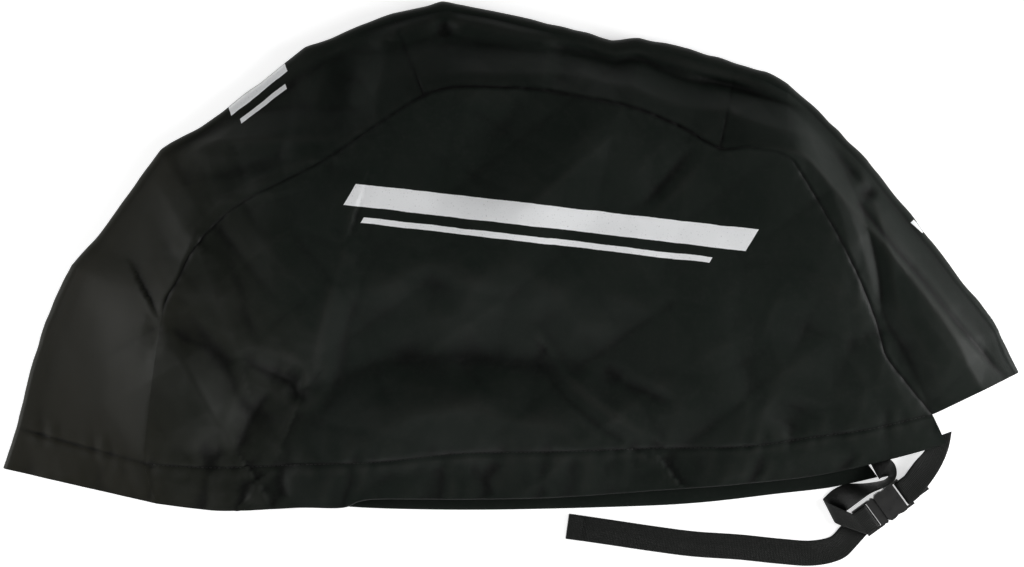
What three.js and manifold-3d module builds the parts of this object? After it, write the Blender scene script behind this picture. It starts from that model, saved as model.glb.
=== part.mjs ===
// A fitted cloth cover for an outboard motor, empty and lying on its side on a flat surface.
// Millimetres, +Z up. The origin is on the surface, under the middle of the cover.
// The cover's open hem faces -Y, its front is at -X and its rear corner at +X.
// Two side panels are joined by a gusset strip, which is folded in half along its middle:
// its upper half runs out from the seam of the upper panel to the folded edge of the cover,
// and its lower half runs back on the floor to the seam of the lower panel.
import * as THREE from 'three';
import { mergeVertices } from 'three/addons/utils/BufferGeometryUtils.js';
import Module from 'manifold-3d';

const wasm = await Module();
wasm.setup();

// Driving dimensions
const CLOTH = 1.4;          // coated cloth with its seam allowance
const HEM_CLOTH = 2.4;      // two layers where the hem is turned up
const GAP = 0.3;            // room between neighbouring pieces
const WEBBING = 25;         // width of the webbing
const WEBBING_THICK = 1.4;
const FOLD_SIDES = 5;       // facets round the gusset's folded edge

// Grid steps along the pieces
const LEG_STEPS = 20;       // along the front seam, above the hem, and along the rear seam
const TOP_STEPS = 38;       // along the top seam
const GUSSET_STEPS = 7;     // across the gusset's upper half
const FLOOR_STEPS = 2;      // across the gusset's lower half
const LOOSE_STEPS = 3;      // between two rows of a strap's route
const STRAP_COLUMNS = 2;    // across a strap
const BAR_SIDES = 6;        // round a bar of the buckle
const FINE_STEPS = 24;      // between two sections of the arch, to measure along it
const TINY = 1e-5;          // points closer than this are one

// Sections round the arch, from the front foot to the rear foot. seam is where the gusset meets
// the upper side panel and lift is its height there. edge is the folded edge of the cover, where
// the cloth turns with radius roll. under is how far the lower seam lies from below the upper one.
// bend is the share of the gusset's width that stays level before it falls to that edge.
const ARCH = [
  { seam: [-347, -215], edge: [-499, -181], lift: 21, roll: 5, under: [-8, 8], bend: 0 },
  { seam: [-358, -176], edge: [-487, -141], lift: 27, roll: 6, under: [-8, 4], bend: 0 },
  { seam: [-353, -124], edge: [-472, -83], lift: 34, roll: 6, under: [-8, 0], bend: 0 },
  { seam: [-345, -70], edge: [-457, -38], lift: 40, roll: 6, under: [-8, 0], bend: 0 },
  { seam: [-337, -22], edge: [-433, 18], lift: 45, roll: 7, under: [-6, 0], bend: 0 },
  { seam: [-324, 3], edge: [-409, 43], lift: 47, roll: 7, under: [-6, 2], bend: 0 },
  { seam: [-312, 27], edge: [-374, 90], lift: 49, roll: 7, under: [-6, 4], bend: 0 },
  { seam: [-292, 53], edge: [-344, 131], lift: 50, roll: 7, under: [-4, 6], bend: 0 },
  { seam: [-261, 79], edge: [-294, 162], lift: 50, roll: 7, under: [-4, 6], bend: 0 },
  { seam: [-208, 106], edge: [-235, 206], lift: 50, roll: 7, under: [-2, 8], bend: 0 },
  { seam: [-183, 119], edge: [-203, 231], lift: 51, roll: 8, under: [-2, 8], bend: 0 },
  { seam: [-159, 134], edge: [-176, 241], lift: 52, roll: 8, under: [-2, 8], bend: 0 },
  { seam: [-124, 158], edge: [-149, 253], lift: 55, roll: 8, under: [0, 8], bend: 0 },
  { seam: [-85, 182], edge: [-118, 265], lift: 57, roll: 9, under: [0, 8], bend: 0 },
  { seam: [-56, 190], edge: [-68, 276], lift: 58, roll: 9, under: [0, 8], bend: 0 },
  { seam: [-7, 190], edge: [-20, 268], lift: 57, roll: 9, under: [0, 8], bend: 0 },
  { seam: [32, 187], edge: [32, 256], lift: 54, roll: 9, under: [0, 8], bend: 0 },
  { seam: [76, 179], edge: [74, 246], lift: 52, roll: 9, under: [0, 8], bend: 0 },
  { seam: [98, 175], edge: [98, 239], lift: 51, roll: 9, under: [0, 8], bend: 0 },
  { seam: [125, 168], edge: [125, 241], lift: 50, roll: 9, under: [0, 8], bend: 0 },
  { seam: [165, 151], edge: [174, 230], lift: 50, roll: 9, under: [2, 8], bend: 0 },
  { seam: [201, 131], edge: [220, 216], lift: 52, roll: 9, under: [2, 8], bend: 0 },
  { seam: [231, 132], edge: [248, 208], lift: 54, roll: 9, under: [4, 6], bend: 0 },
  { seam: [266, 123], edge: [270, 196], lift: 54, roll: 9, under: [6, 6], bend: 0.05 },
  { seam: [284, 100], edge: [294, 175], lift: 52, roll: 8, under: [8, 4], bend: 0.15 },
  { seam: [314, 50], edge: [347, 122], lift: 48, roll: 8, under: [6, 4], bend: 0.3 },
  { seam: [331, 17], edge: [383, 77], lift: 44, roll: 7, under: [4, 2], bend: 0.35 },
  { seam: [345, -14], edge: [412, 41], lift: 40, roll: 7, under: [0, 0], bend: 0.35 },
  { seam: [357, -44], edge: [446, -3], lift: 35, roll: 7, under: [-6, -2], bend: 0.35 },
  { seam: [365, -71], edge: [478, -46], lift: 31, roll: 6, under: [-8, -8], bend: 0.35 },
  { seam: [389, -102], edge: [487, -69], lift: 26, roll: 6, under: [-26, -20], bend: 0.3 },
  { seam: [411, -128], edge: [497, -87], lift: 21, roll: 5, under: [-41, -20], bend: 0.25 },
];
const STITCH_ROW = 1;       // sections where the pieces change over
const SHOULDER_ROW = 8;
const FRONT_JOIN_ROW = 13;
const REAR_JOIN_ROW = 21;
const REAR_TOP_ROW = 23;

// The near hem: its lower edge and its stitch line, with the height at each place.
const HEM_EDGE = [
  { at: [-347, -215], lift: 21 },
  { at: [-284, -222], lift: 18 },
  { at: [-208, -219], lift: 17 },
  { at: [-166, -219], lift: 19 },
  { at: [-138, -211], lift: 20 },
  { at: [-51, -211], lift: 18 },
  { at: [47, -209], lift: 17 },
  { at: [145, -202], lift: 18 },
  { at: [223, -196], lift: 18 },
  { at: [302, -187], lift: 17 },
  { at: [370, -172], lift: 16 },
  { at: [425, -157], lift: 15 },
];
const STITCH_LINE = [
  { at: [-358, -176], lift: 27 },
  { at: [-286, -180], lift: 25 },
  { at: [-208, -177], lift: 24 },
  { at: [-129, -174], lift: 25 },
  { at: [-51, -166], lift: 25 },
  { at: [47, -164], lift: 24 },
  { at: [145, -161], lift: 24 },
  { at: [228, -159], lift: 25 },
  { at: [302, -149], lift: 24 },
  { at: [351, -142], lift: 23 },
  { at: [411, -128], lift: 21 },
];
// The far hem's edge on the floor, from the end of its casing at the rear to its front foot.
const FAR_HEM = [
  [346, -166], [359, -190], [313, -200], [263, -206], [184, -215], [106, -219], [-31, -222],
  [-144, -220], [-208, -214], [-284, -215],
];
const HEM_DEPTH = 40;

// How far the upper panel rises above the straight spread between its seams and hem.
const CROWN = 9;

// Folds in the upper cloth. rise is the height of a ridge, or the depth of a trough where it is
// negative, and left and right are its widths on the two sides of its path.
const FOLDS = [
  { path: [[-325, 139], [-240, 140], [-165, 142]], rise: 5, left: 10, right: 16 },
  { path: [[-300, 122], [-240, 124], [-190, 128]], rise: -4, left: 14, right: 16 },
  { path: [[-120, 248], [-70, 266], [20, 245], [70, 240], [122, 226]], rise: 7, left: 8, right: 13 },
  { path: [[-90, 232], [-40, 232], [60, 226], [108, 222]], rise: -5, left: 9, right: 12 },
  { path: [[128, 230], [150, 204], [185, 196], [235, 186], [288, 172]], rise: -7, left: 10, right: 12 },
  { path: [[-158, 218], [-160, 186], [-152, 152]], rise: -5, left: 10, right: 12 },
  { path: [[-285, 12], [-272, -34], [-262, -70]], rise: 6, left: 12, right: 20 },
  { path: [[-164, 28], [-178, -26], [-188, -62], [-200, -98]], rise: 8, left: 12, right: 22 },
  { path: [[-228, -96], [-204, -106], [-190, -100]], rise: -7, left: 10, right: 12 },
  { path: [[-244, -108], [-258, -140], [-276, -162]], rise: -7, left: 12, right: 12 },
  {
    path: [[-220, -158], [-170, -114], [-100, -92], [-10, -76], [30, -74]],
    rise: -6.5, left: 26, right: 24,
  },
  { path: [[-190, -70], [-140, -64], [-90, -60], [-20, -48]], rise: 5, left: 22, right: 22 },
  { path: [[45, -84], [75, -118], [122, -148]], rise: -5, left: 16, right: 20 },
  { path: [[262, -40], [300, -56], [345, -76]], rise: -7, left: 20, right: 22 },
  { path: [[-200, 60], [-150, 100], [-80, 140]], rise: -5, left: 26, right: 26 },
  { path: [[-40, 120], [-20, 30], [-30, -30]], rise: -4, left: 34, right: 34 },
  { path: [[110, 160], [60, 120], [-10, 70]], rise: 4, left: 28, right: 30 },
  { path: [[170, 122], [150, 100], [128, 78]], rise: -4, left: 10, right: 14 },
  {
    path: [[312, 156], [322, 114], [338, 66], [358, 14], [378, -48], [402, -116]],
    rise: -8, left: 9, right: 11,
  },
  { path: [[344, 76], [366, 42], [402, 0], [440, -48], [474, -84]], rise: -6, left: 6, right: 12 },
  { path: [[-338, -38], [-318, -62], [-284, -78], [-262, -90]], rise: -5, left: 9, right: 12 },
  { path: [[-345, -48], [-356, -72]], rise: -4, left: 9, right: 9 },
];
const FOLD_FADE = 16;       // folds die out over this width at the folded edge
const END_RISE = 0.4;       // share of a fold's rise at its ends

// Puckers of the drawn hem: place along it and how deep each one is.
const PUCKERS = [
  { x: -298, depth: 4, width: 9 },
  { x: -258, depth: 4, width: 10 },
  { x: -226, depth: 6, width: 12 },
  { x: -160, depth: 6, width: 12 },
  { x: -68, depth: 4, width: 10 },
  { x: -24, depth: 4, width: 12 },
  { x: 58, depth: 3, width: 12 },
  { x: 236, depth: 4, width: 10 },
  { x: 326, depth: 4, width: 10 },
];
const PUCKER_TOP = -150;    // where the puckers run out above the stitch line
const PUCKER_FADE = 34;

// The buckle lies on the floor, its length turned from the X axis. at is where plug and socket meet.
// Its own x runs along it, from that place towards the socket's webbing.
const BUCKLE = { at: [361.9, -221.5], lift: 4.5, turn: 36, width: 30.4, thick: 9 };
const POCKET = { half: 12.4, tall: 5.4, deep: 20 };     // the hollow that takes the prongs
const WINDOW = { from: 7, to: 17 };                     // side openings for the prongs' barbs
const SHELL = { waist: 1.2, corner: 2.5 };
const SHOULDER = { waist: 0.8, corner: 1.5, thick: 7.2, half: 14.7 };
const GUIDE = { half: 2, end: 18 };
const PRONG = { inside: 8.4, barbInside: 9.4, barbOutside: 14.4, play: 0.4 };
const RAIL_WIDTH = 2.4;     // side rails that hold the bars
const RAIL_TALL = 5;
const RAIL_SET_IN = 0.3;    // how far the socket's rails stand in from its sides
const BAR_MARGIN = 1.9;     // how far the socket's rails run past its bar
const ROOT = 2;             // how far pieces of one part run into each other
const BAR_RADIUS = 1.8;
const BAR_TURN = 3.2;       // radius at which the middle of the webbing turns round a bar
const SOCKET_BODY = 23;
const SOCKET_BAR = 28.4;
const PLUG_SHOULDER = -8.6;
const LADDER_BAR = -13;
const OUTER_BAR_INSIDE = -20.5;
const OUTER_BAR_TALL = 3;
const PLUG_END = -25;

// The webbing's loose stretches. at is its middle and lift its height, across is the way that its
// width runs on plan in degrees, and tilt is how far its width leans up from level.
const ANCHOR_ROUTE = [
  { at: [419, -149], lift: 11.4, across: 20, tilt: 0 },
  { at: [417.5, -157], lift: 11.6, across: 17, tilt: 0 },
  { at: [414.5, -165], lift: 11.4, across: 6, tilt: -1 },
  { at: [409, -175], lift: 10.2, across: -14, tilt: -2 },
  { at: [401, -187], lift: 8.8, across: -38, tilt: -2 },
  { at: [392, -199], lift: 7.7, across: -52, tilt: 0 },
];
const ANCHOR_LEAD = 4;      // level run before the socket's bar
const ANCHOR_SEWN = 22;     // length sewn back under
const PULL_ROUTE = [
  { at: [353.2, -178.2], lift: 1.4, across: -62, tilt: 0 },
  { at: [360.5, -180], lift: 3.9, across: -88, tilt: -12 },
  { at: [367.5, -183], lift: 8.8, across: -122, tilt: -38 },
  { at: [372.3, -188], lift: 12.9, across: -150, tilt: -76 },
  { at: [369.3, -193], lift: 12.7, across: -220, tilt: -82 },
  { at: [362.5, -196.5], lift: 12.6, across: -250, tilt: -80 },
  { at: [347, -201], lift: 12.1, across: -246, tilt: -68 },
  { at: [333, -206], lift: 8.6, across: -243, tilt: -38 },
  { at: [321, -213.5], lift: 3.4, across: -243, tilt: -10 },
  { at: [313.5, -220.5], lift: 1.4, across: -243, tilt: 0 },
  { at: [311.4, -223], lift: 3.6, across: -243, tilt: 0 },
  { at: [315, -225.5], lift: 6.4, across: -243, tilt: 4 },
  { at: [323.5, -229], lift: 8.8, across: -240, tilt: 10 },
];
const LADDER_LEAD = 12;     // level run over and under the plug's outer bar
const TAIL_ROUTE = [
  { at: [330, -249], lift: 0.95, across: 132, tilt: 0 },
  { at: [318, -260], lift: 0.9, across: 120, tilt: 0 },
  { at: [294, -265], lift: 0.8, across: 90, tilt: 0 },
  { at: [262, -263], lift: 0.8, across: 85, tilt: 0 },
  { at: [223, -259], lift: 0.8, across: 86, tilt: 0 },
  { at: [179, -256], lift: 0.8, across: 85, tilt: 0 },
  { at: [140, -251], lift: 0.8, across: 82, tilt: 0 },
  { at: [96, -244.5], lift: 0.8, across: 82, tilt: 0 },
  { at: [55, -238.6], lift: 0.8, across: 82, tilt: 0 },
];
const TAIL_END_STATIONS = 2; // the tail's folded and sewn end

const CLOTH_COLOUR = 0x1d1f1c;
const CLOTH_ROUGHNESS = 0.72;
const WEBBING_COLOUR = 0x24251f;
const BUCKLE_COLOUR = 0x1a1a19;
const BUCKLE_ROUGHNESS = 0.4;

// Where the grid has its row just above the stitch line, at the front and rear ends of the arch
const LEG_STEP_PLACE = 0.04;
const REAR_STEP_PLACE = 0.06;
const STEP_FRACTION = 0.006;

/** A number read off a table of numbers at a fraction of the way between two rows, smoothly. */
function smooth(values, place) {
  const last = values.length - 1;
  const i = Math.min(Math.floor(place), last - 1);
  const t = place - i;
  const p1 = values[i];
  const p2 = values[i + 1];
  const p0 = i > 0 ? values[i - 1] : p1;
  const p3 = i + 2 <= last ? values[i + 2] : p2;
  const before = (p2 - p0) / 2;
  const after = (p3 - p1) / 2;
  const t2 = t * t;
  const t3 = t2 * t;
  return (2 * t3 - 3 * t2 + 1) * p1 + (t3 - 2 * t2 + t) * before
    + (3 * t2 - 2 * t3) * p2 + (t3 - t2) * after;
}

/** The section of the arch at a place between its rows. */
function archAt(place) {
  const read = (pick) => smooth(ARCH.map(pick), place);
  return {
    seam: new THREE.Vector2(read((row) => row.seam[0]), read((row) => row.seam[1])),
    edge: new THREE.Vector2(read((row) => row.edge[0]), read((row) => row.edge[1])),
    under: new THREE.Vector2(read((row) => row.under[0]), read((row) => row.under[1])),
    lift: read((row) => row.lift),
    roll: read((row) => row.roll),
    bend: read((row) => row.bend),
  };
}

/** Places between two rows of the arch, spaced evenly along the seam. */
function evenPlaces(from, to, steps) {
  const fine = Math.ceil(FINE_STEPS * (to - from));
  const places = [from];
  const run = [0];
  for (let i = 1; i <= fine; i += 1) {
    const here = from + ((to - from) * i) / fine;
    const step = archAt(here).seam.distanceTo(archAt(places[i - 1]).seam);
    places.push(here);
    run.push(run[i - 1] + step);
  }
  const spaced = [];
  for (let i = 0; i <= steps; i += 1) {
    const want = (run[fine] * i) / steps;
    const k = Math.max(1, run.findIndex((length) => length >= want - TINY));
    const part = (want - run[k - 1]) / (run[k] - run[k - 1]);
    spaced.push(places[k - 1] + part * (places[k] - places[k - 1]));
  }
  return spaced;
}

/** A point and height on an edge table, at a fraction of its length. */
function edgeAt(table, fraction) {
  const run = [0];
  for (let i = 1; i < table.length; i += 1) {
    const [x0, y0] = table[i - 1].at;
    const [x1, y1] = table[i].at;
    run.push(run[i - 1] + Math.hypot(x1 - x0, y1 - y0));
  }
  const want = fraction * run[run.length - 1];
  const k = Math.max(1, run.findIndex((length) => length >= want - TINY));
  const place = k - 1 + (want - run[k - 1]) / (run[k] - run[k - 1]);
  return new THREE.Vector3(
    smooth(table.map((row) => row.at[0]), place),
    smooth(table.map((row) => row.at[1]), place),
    smooth(table.map((row) => row.lift), place),
  );
}

/** How far a point on plan is from a path, with its side and the fraction of the path there. */
function nearPath(x, y, path) {
  let best = { distance: Infinity, side: 1, fraction: 0 };
  let whole = 0;
  for (let i = 1; i < path.length; i += 1) {
    whole += Math.hypot(path[i][0] - path[i - 1][0], path[i][1] - path[i - 1][1]);
  }
  let run = 0;
  for (let i = 1; i < path.length; i += 1) {
    const [x0, y0] = path[i - 1];
    const dx = path[i][0] - x0;
    const dy = path[i][1] - y0;
    const length = Math.hypot(dx, dy);
    const along = ((x - x0) * dx + (y - y0) * dy) / (length * length);
    const t = THREE.MathUtils.clamp(along, 0, 1);
    const distance = Math.hypot(x - x0 - t * dx, y - y0 - t * dy);
    if (distance < best.distance) {
      const side = Math.sign(dx * (y - y0) - dy * (x - x0)) || 1;
      best = { distance, side, fraction: (run + t * length) / whole };
    }
    run += length;
  }
  return best;
}

/** The height that the folds add at a point on plan. */
function foldHeight(x, y) {
  let height = 0;
  for (const fold of FOLDS) {
    const near = nearPath(x, y, fold.path);
    const width = near.side > 0 ? fold.left : fold.right;
    const taper = END_RISE + (1 - END_RISE) * Math.sin(Math.PI * near.fraction);
    height += fold.rise * taper * Math.exp(-((near.distance / width) ** 2));
  }
  return height;
}

/** The depth of the hem's puckers at a point on plan. */
function puckerDepth(x, y) {
  const fade = THREE.MathUtils.smoothstep(PUCKER_TOP - y, 0, PUCKER_FADE);
  let depth = 0;
  for (const pucker of PUCKERS) {
    depth += pucker.depth * Math.exp(-(((x - pucker.x) / pucker.width) ** 2));
  }
  return depth * fade;
}

/** A mesh with its name and a plain material. */
function namedMesh(name, geometry, color, roughness) {
  const mesh = new THREE.Mesh(geometry, new THREE.MeshStandardMaterial({ color, roughness, metalness: 0 }));
  mesh.name = name;
  return mesh;
}

/** Turns the diagonals of a box's last face, so that they run the same way as on its opposite face. */
function turnDiagonals(index, { start, count }) {
  for (let k = start; k < start + count; k += 6) {
    const [a, b, d, , c] = index.array.slice(k, k + 6);
    index.array.set([a, b, c, a, c, d], k);
  }
}

/** A closed sheet on a grid of points: pointAt(i, j) gives the middle, the way out and the thickness. */
function sheet(name, steps, rows, pointAt, colour) {
  const geometry = new THREE.BoxGeometry(1, 1, 1, steps, rows, 1);
  geometry.deleteAttribute('normal');
  geometry.deleteAttribute('uv');
  const merged = mergeVertices(geometry, TINY);
  turnDiagonals(merged.getIndex(), geometry.groups[geometry.groups.length - 1]);
  const position = merged.getAttribute('position');
  const grid = [];
  for (let i = 0; i <= steps; i += 1) {
    grid.push([]);
    for (let j = 0; j <= rows; j += 1) {
      grid[i].push(pointAt(i, j));
    }
  }
  for (let k = 0; k < position.count; k += 1) {
    const i = Math.round((position.getX(k) + 0.5) * steps);
    const j = Math.round((position.getY(k) + 0.5) * rows);
    const side = Math.sign(position.getZ(k));
    const { middle, out, thick } = grid[i][j];
    const point = middle.clone().addScaledVector(out, (side * thick) / 2);
    position.setXYZ(k, point.x, point.y, point.z);
  }
  merged.computeVertexNormals();
  return namedMesh(name, merged, colour, CLOTH_ROUGHNESS);
}

const UP = new THREE.Vector3(0, 0, 1);

/** The thickness of the cloth at a row of the grid, doubled in the hem. */
function clothThick(row) {
  return row < HEM_POINTS ? HEM_CLOTH : CLOTH;
}

// Places on the arch that the grids use, from the front foot to the rear foot. The first places
// are in the hem, and the next one, and the last but one, lie just above its stitch line.
const LAST_ROW = ARCH.length - 1;
const hemPlaces = [0, STITCH_ROW / 2, STITCH_ROW];
const legPlaces = evenPlaces(STITCH_ROW + LEG_STEP_PLACE, SHOULDER_ROW, LEG_STEPS);
const topPlaces = evenPlaces(SHOULDER_ROW, REAR_TOP_ROW, TOP_STEPS);
const rearPlaces = evenPlaces(REAR_TOP_ROW, LAST_ROW - REAR_STEP_PLACE, LEG_STEPS);
const leftPlaces = [...hemPlaces, ...legPlaces];
const allPlaces = [...leftPlaces, ...topPlaces.slice(1), ...rearPlaces.slice(1), LAST_ROW];
const HEM_POINTS = hemPlaces.length;
const PANEL_ROWS = leftPlaces.length - 1;

/** The place in the grid that is nearest to a row of the arch, where a piece starts or ends. */
function nearestIndex(row) {
  let best = 0;
  allPlaces.forEach((place, i) => {
    if (Math.abs(place - row) < Math.abs(allPlaces[best] - row)) {
      best = i;
    }
  });
  return best;
}

/** The outward direction of the gusset on plan, from its seam to its folded edge. */
function outwards(section) {
  return section.edge.clone().sub(section.seam).normalize();
}

/** The direction along the seam on plan at a place of the grid. */
function alongSeam(index) {
  const before = archAt(allPlaces[Math.max(index - 1, 0)]).seam;
  const after = archAt(allPlaces[Math.min(index + 1, allPlaces.length - 1)]).seam;
  return after.sub(before).normalize();
}

/** One point across the gusset: its middle, the way out and how thick the cloth is there. */
function gussetPoint(section, column, thick) {
  const out = outwards(section);
  const width = section.edge.distanceTo(section.seam);
  const level = width - section.roll;
  const inner = section.roll - thick / 2;
  const top = section.roll + inner;
  if (column <= GUSSET_STEPS) {
    const part = column / GUSSET_STEPS;
    const from = column === 0 ? GAP / 2 : 0;
    const plan = section.seam.clone().addScaledVector(out, level * part + from);
    const drop = THREE.MathUtils.smoothstep(part, section.bend, 1);
    const fade = THREE.MathUtils.clamp((width - level * part) / FOLD_FADE - 0.5, 0, 1);
    const height = section.lift + (top - section.lift) * drop + foldHeight(plan.x, plan.y) * fade;
    return { middle: new THREE.Vector3(plan.x, plan.y, height), out: UP, thick };
  }
  if (column <= GUSSET_STEPS + FOLD_SIDES) {
    const turn = Math.PI / 2 - (Math.PI * (column - GUSSET_STEPS)) / FOLD_SIDES;
    const reach = level + inner * Math.cos(turn);
    const plan = section.seam.clone().addScaledVector(out, reach);
    const middle = new THREE.Vector3(plan.x, plan.y, section.roll + inner * Math.sin(turn));
    const way = new THREE.Vector3(out.x * Math.cos(turn), out.y * Math.cos(turn), Math.sin(turn));
    return { middle, out: way, thick };
  }
  const part = (column - GUSSET_STEPS - FOLD_SIDES) / FLOOR_STEPS;
  const start = section.seam.clone().addScaledVector(out, level);
  const end = section.seam.clone().add(section.under).addScaledVector(out, GAP / 2);
  const plan = start.lerp(end, part);
  return { middle: new THREE.Vector3(plan.x, plan.y, thick / 2), out: UP.clone().negate(), thick };
}

/** A length of the gusset between two places of the grid, parted from its neighbours there. */
function gussetPiece(name, from, to, colour) {
  const columns = GUSSET_STEPS + FOLD_SIDES + FLOOR_STEPS;
  return sheet(name, to - from, columns, (i, j) => {
    const index = from + i;
    const point = gussetPoint(archAt(allPlaces[index]), j, clothThick(index));
    const joined = (i === 0 && from > 0) || (i === to - from && to < allPlaces.length - 1);
    if (joined) {
      const along = alongSeam(index).multiplyScalar(i === 0 ? GAP / 2 : -GAP / 2);
      point.middle.x += along.x;
      point.middle.y += along.y;
    }
    return point;
  }, colour);
}

/** A point of the seam with its height, set in from the seam by half the gap. */
function seamPoint(place) {
  const section = archAt(place);
  const plan = section.seam.clone().addScaledVector(outwards(section), -GAP / 2);
  return new THREE.Vector3(plan.x, plan.y, section.lift);
}

/** The upper panel's edge on the rear side, from its lower corner to the top of the rear seam. */
function rearEdge(row) {
  if (row < HEM_POINTS - 1) {
    const corner = edgeAt(HEM_EDGE, 1);
    return corner.lerp(seamPoint(LAST_ROW), row / (HEM_POINTS - 1));
  }
  return seamPoint(allPlaces[allPlaces.length - 1 - (row - (HEM_POINTS - 1))]);
}

/** The middle of the upper panel's cloth on its grid, before folds and puckers. */
function panelBase(i, j) {
  const u = i / TOP_STEPS;
  const front = seamPoint(leftPlaces[j]);
  const rear = rearEdge(j);
  if (j < HEM_POINTS) {
    const part = j / (HEM_POINTS - 1);
    const low = edgeAt(HEM_EDGE, u);
    const point = low.lerp(edgeAt(STITCH_LINE, u), part);
    const frontShift = front.clone().sub(edgeAt(HEM_EDGE, 0).lerp(edgeAt(STITCH_LINE, 0), part));
    const rearShift = rear.clone().sub(edgeAt(HEM_EDGE, 1).lerp(edgeAt(STITCH_LINE, 1), part));
    return point.addScaledVector(frontShift, 1 - u).addScaledVector(rearShift, u);
  }
  const v = panelFraction(j);
  const bottomFront = seamPoint(STITCH_ROW);
  const bottomRear = seamPoint(LAST_ROW);
  const topFront = seamPoint(SHOULDER_ROW);
  const topRear = seamPoint(REAR_TOP_ROW);
  const bottom = panelBase(i, HEM_POINTS - 1);
  const top = seamPoint(topPlaces[i]);
  return new THREE.Vector3()
    .addScaledVector(bottom, 1 - v)
    .addScaledVector(top, v)
    .addScaledVector(front, 1 - u)
    .addScaledVector(rear, u)
    .addScaledVector(bottomFront, -(1 - u) * (1 - v))
    .addScaledVector(bottomRear, -u * (1 - v))
    .addScaledVector(topFront, -(1 - u) * v)
    .addScaledVector(topRear, -u * v)
    .add(new THREE.Vector3(0, 0, CROWN * Math.sin(Math.PI * u) * Math.sin(Math.PI * v)));
}

/** How far up the panel a row of its grid lies above the stitch line, as a fraction. */
function panelFraction(row) {
  const above = row - HEM_POINTS;
  if (above < 0) {
    return 0;
  }
  return STEP_FRACTION + ((1 - STEP_FRACTION) * above) / LEG_STEPS;
}

/** The side panel that faces up, with its hem. */
function upperPanel() {
  return sheet('side_panel_upper', TOP_STEPS, PANEL_ROWS, (i, j) => {
    const middle = panelBase(i, j);
    middle.z += foldHeight(middle.x, middle.y) - puckerDepth(middle.x, middle.y);
    return { middle, out: UP, thick: clothThick(j) };
  }, CLOTH_COLOUR);
}

/** A solid of a closed geometry, for joining and cutting. */
function solidOf(geometry) {
  const bare = geometry.clone();
  bare.deleteAttribute('normal');
  bare.deleteAttribute('uv');
  const merged = mergeVertices(bare, TINY);
  const vertProperties = new Float32Array(merged.getAttribute('position').array);
  const triVerts = new Uint32Array(merged.getIndex().array);
  return new wasm.Manifold(new wasm.Mesh({ numProp: 3, vertProperties, triVerts }));
}

/** A named mesh of a joined or cut solid. */
function meshOf(name, solid, colour, roughness) {
  const { vertProperties, triVerts } = solid.getMesh();
  const geometry = new THREE.BufferGeometry();
  geometry.setAttribute('position', new THREE.BufferAttribute(new Float32Array(vertProperties), 3));
  geometry.setIndex(new THREE.BufferAttribute(new Uint32Array(triVerts), 1));
  geometry.computeVertexNormals();
  return namedMesh(name, geometry, colour, roughness);
}

/** A flat plate of an outline on plan, standing on the given height. */
function plate(points, depth, base = 0) {
  const geometry = new THREE.ExtrudeGeometry(new THREE.Shape(points), { depth, bevelEnabled: false });
  geometry.translate(0, 0, base);
  return geometry;
}

/** The side panel that lies on the floor, with its hem twice as thick. */
function lowerPanel() {
  const seam = allPlaces.map((place) => {
    const section = archAt(place);
    return section.seam.clone().add(section.under).addScaledVector(outwards(section), -GAP / 2);
  });
  const hem = FAR_HEM.map(([x, y]) => new THREE.Vector2(x, y));
  const outline = [...seam, ...hem];
  const rise = new THREE.Vector2(0, HEM_DEPTH);
  const inside = hem.slice(1).map((point) => point.clone().add(rise)).reverse();
  const band = plate([...hem, ...inside], HEM_CLOTH);
  const hemSolid = solidOf(band).intersect(solidOf(plate(outline, HEM_CLOTH)));
  const panel = solidOf(plate(outline, CLOTH)).add(hemSolid);
  return meshOf('side_panel_lower', panel, CLOTH_COLOUR, CLOTH_ROUGHNESS);
}

/** The place of the buckle, with x along it towards the socket's webbing. */
function bucklePlace() {
  const { at, lift, turn } = BUCKLE;
  const place = new THREE.Object3D();
  place.position.set(at[0], at[1], lift);
  place.rotation.z = THREE.MathUtils.degToRad(turn);
  place.updateMatrixWorld(true);
  return place;
}

/** Stations of webbing that lies loose, from a table of its rows. */
function looseStations(rows) {
  const stations = [];
  const read = (pick, place) => smooth(rows.map(pick), place);
  for (let k = 0; k <= (rows.length - 1) * LOOSE_STEPS; k += 1) {
    const place = k / LOOSE_STEPS;
    const turn = THREE.MathUtils.degToRad(read((row) => row.across, place));
    const tilt = THREE.MathUtils.degToRad(read((row) => row.tilt, place));
    const level = Math.cos(tilt);
    stations.push({
      point: new THREE.Vector3(
        read((row) => row.at[0], place),
        read((row) => row.at[1], place),
        read((row) => row.lift, place),
      ),
      across: new THREE.Vector3(Math.cos(turn) * level, Math.sin(turn) * level, Math.sin(tilt)),
      thick: WEBBING_THICK,
    });
  }
  return stations;
}

/** Stations of webbing that turns round a bar of the buckle, from above it to below it. */
function barStations(barX, way, lead, tail) {
  const place = bucklePlace();
  const across = new THREE.Vector3(0, way, 0).transformDirection(place.matrixWorld);
  const points = [[barX - way * lead, BAR_TURN]];
  for (let k = 0; k <= BAR_SIDES; k += 1) {
    const turn = (Math.PI * k) / BAR_SIDES;
    points.push([barX + way * BAR_TURN * Math.sin(turn), BAR_TURN * Math.cos(turn)]);
  }
  points.push([barX - way * tail, -BAR_TURN]);
  return points.map(([x, z]) => ({
    point: new THREE.Vector3(x, 0, z).applyMatrix4(place.matrixWorld),
    across: across.clone(),
    thick: WEBBING_THICK,
  }));
}

/** Flat webbing through its stations, as one closed strip. */
function webbing(name, stations) {
  const last = stations.length - 1;
  return sheet(name, last, STRAP_COLUMNS, (i, j) => {
    const { point, across, thick } = stations[i];
    const before = stations[Math.max(i - 1, 0)].point;
    const after = stations[Math.min(i + 1, last)].point;
    const along = after.clone().sub(before).normalize();
    const out = along.cross(across).normalize();
    const middle = point.clone().addScaledVector(across, (j / STRAP_COLUMNS - 0.5) * WEBBING);
    return { middle, out, thick };
  }, WEBBING_COLOUR);
}

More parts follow.
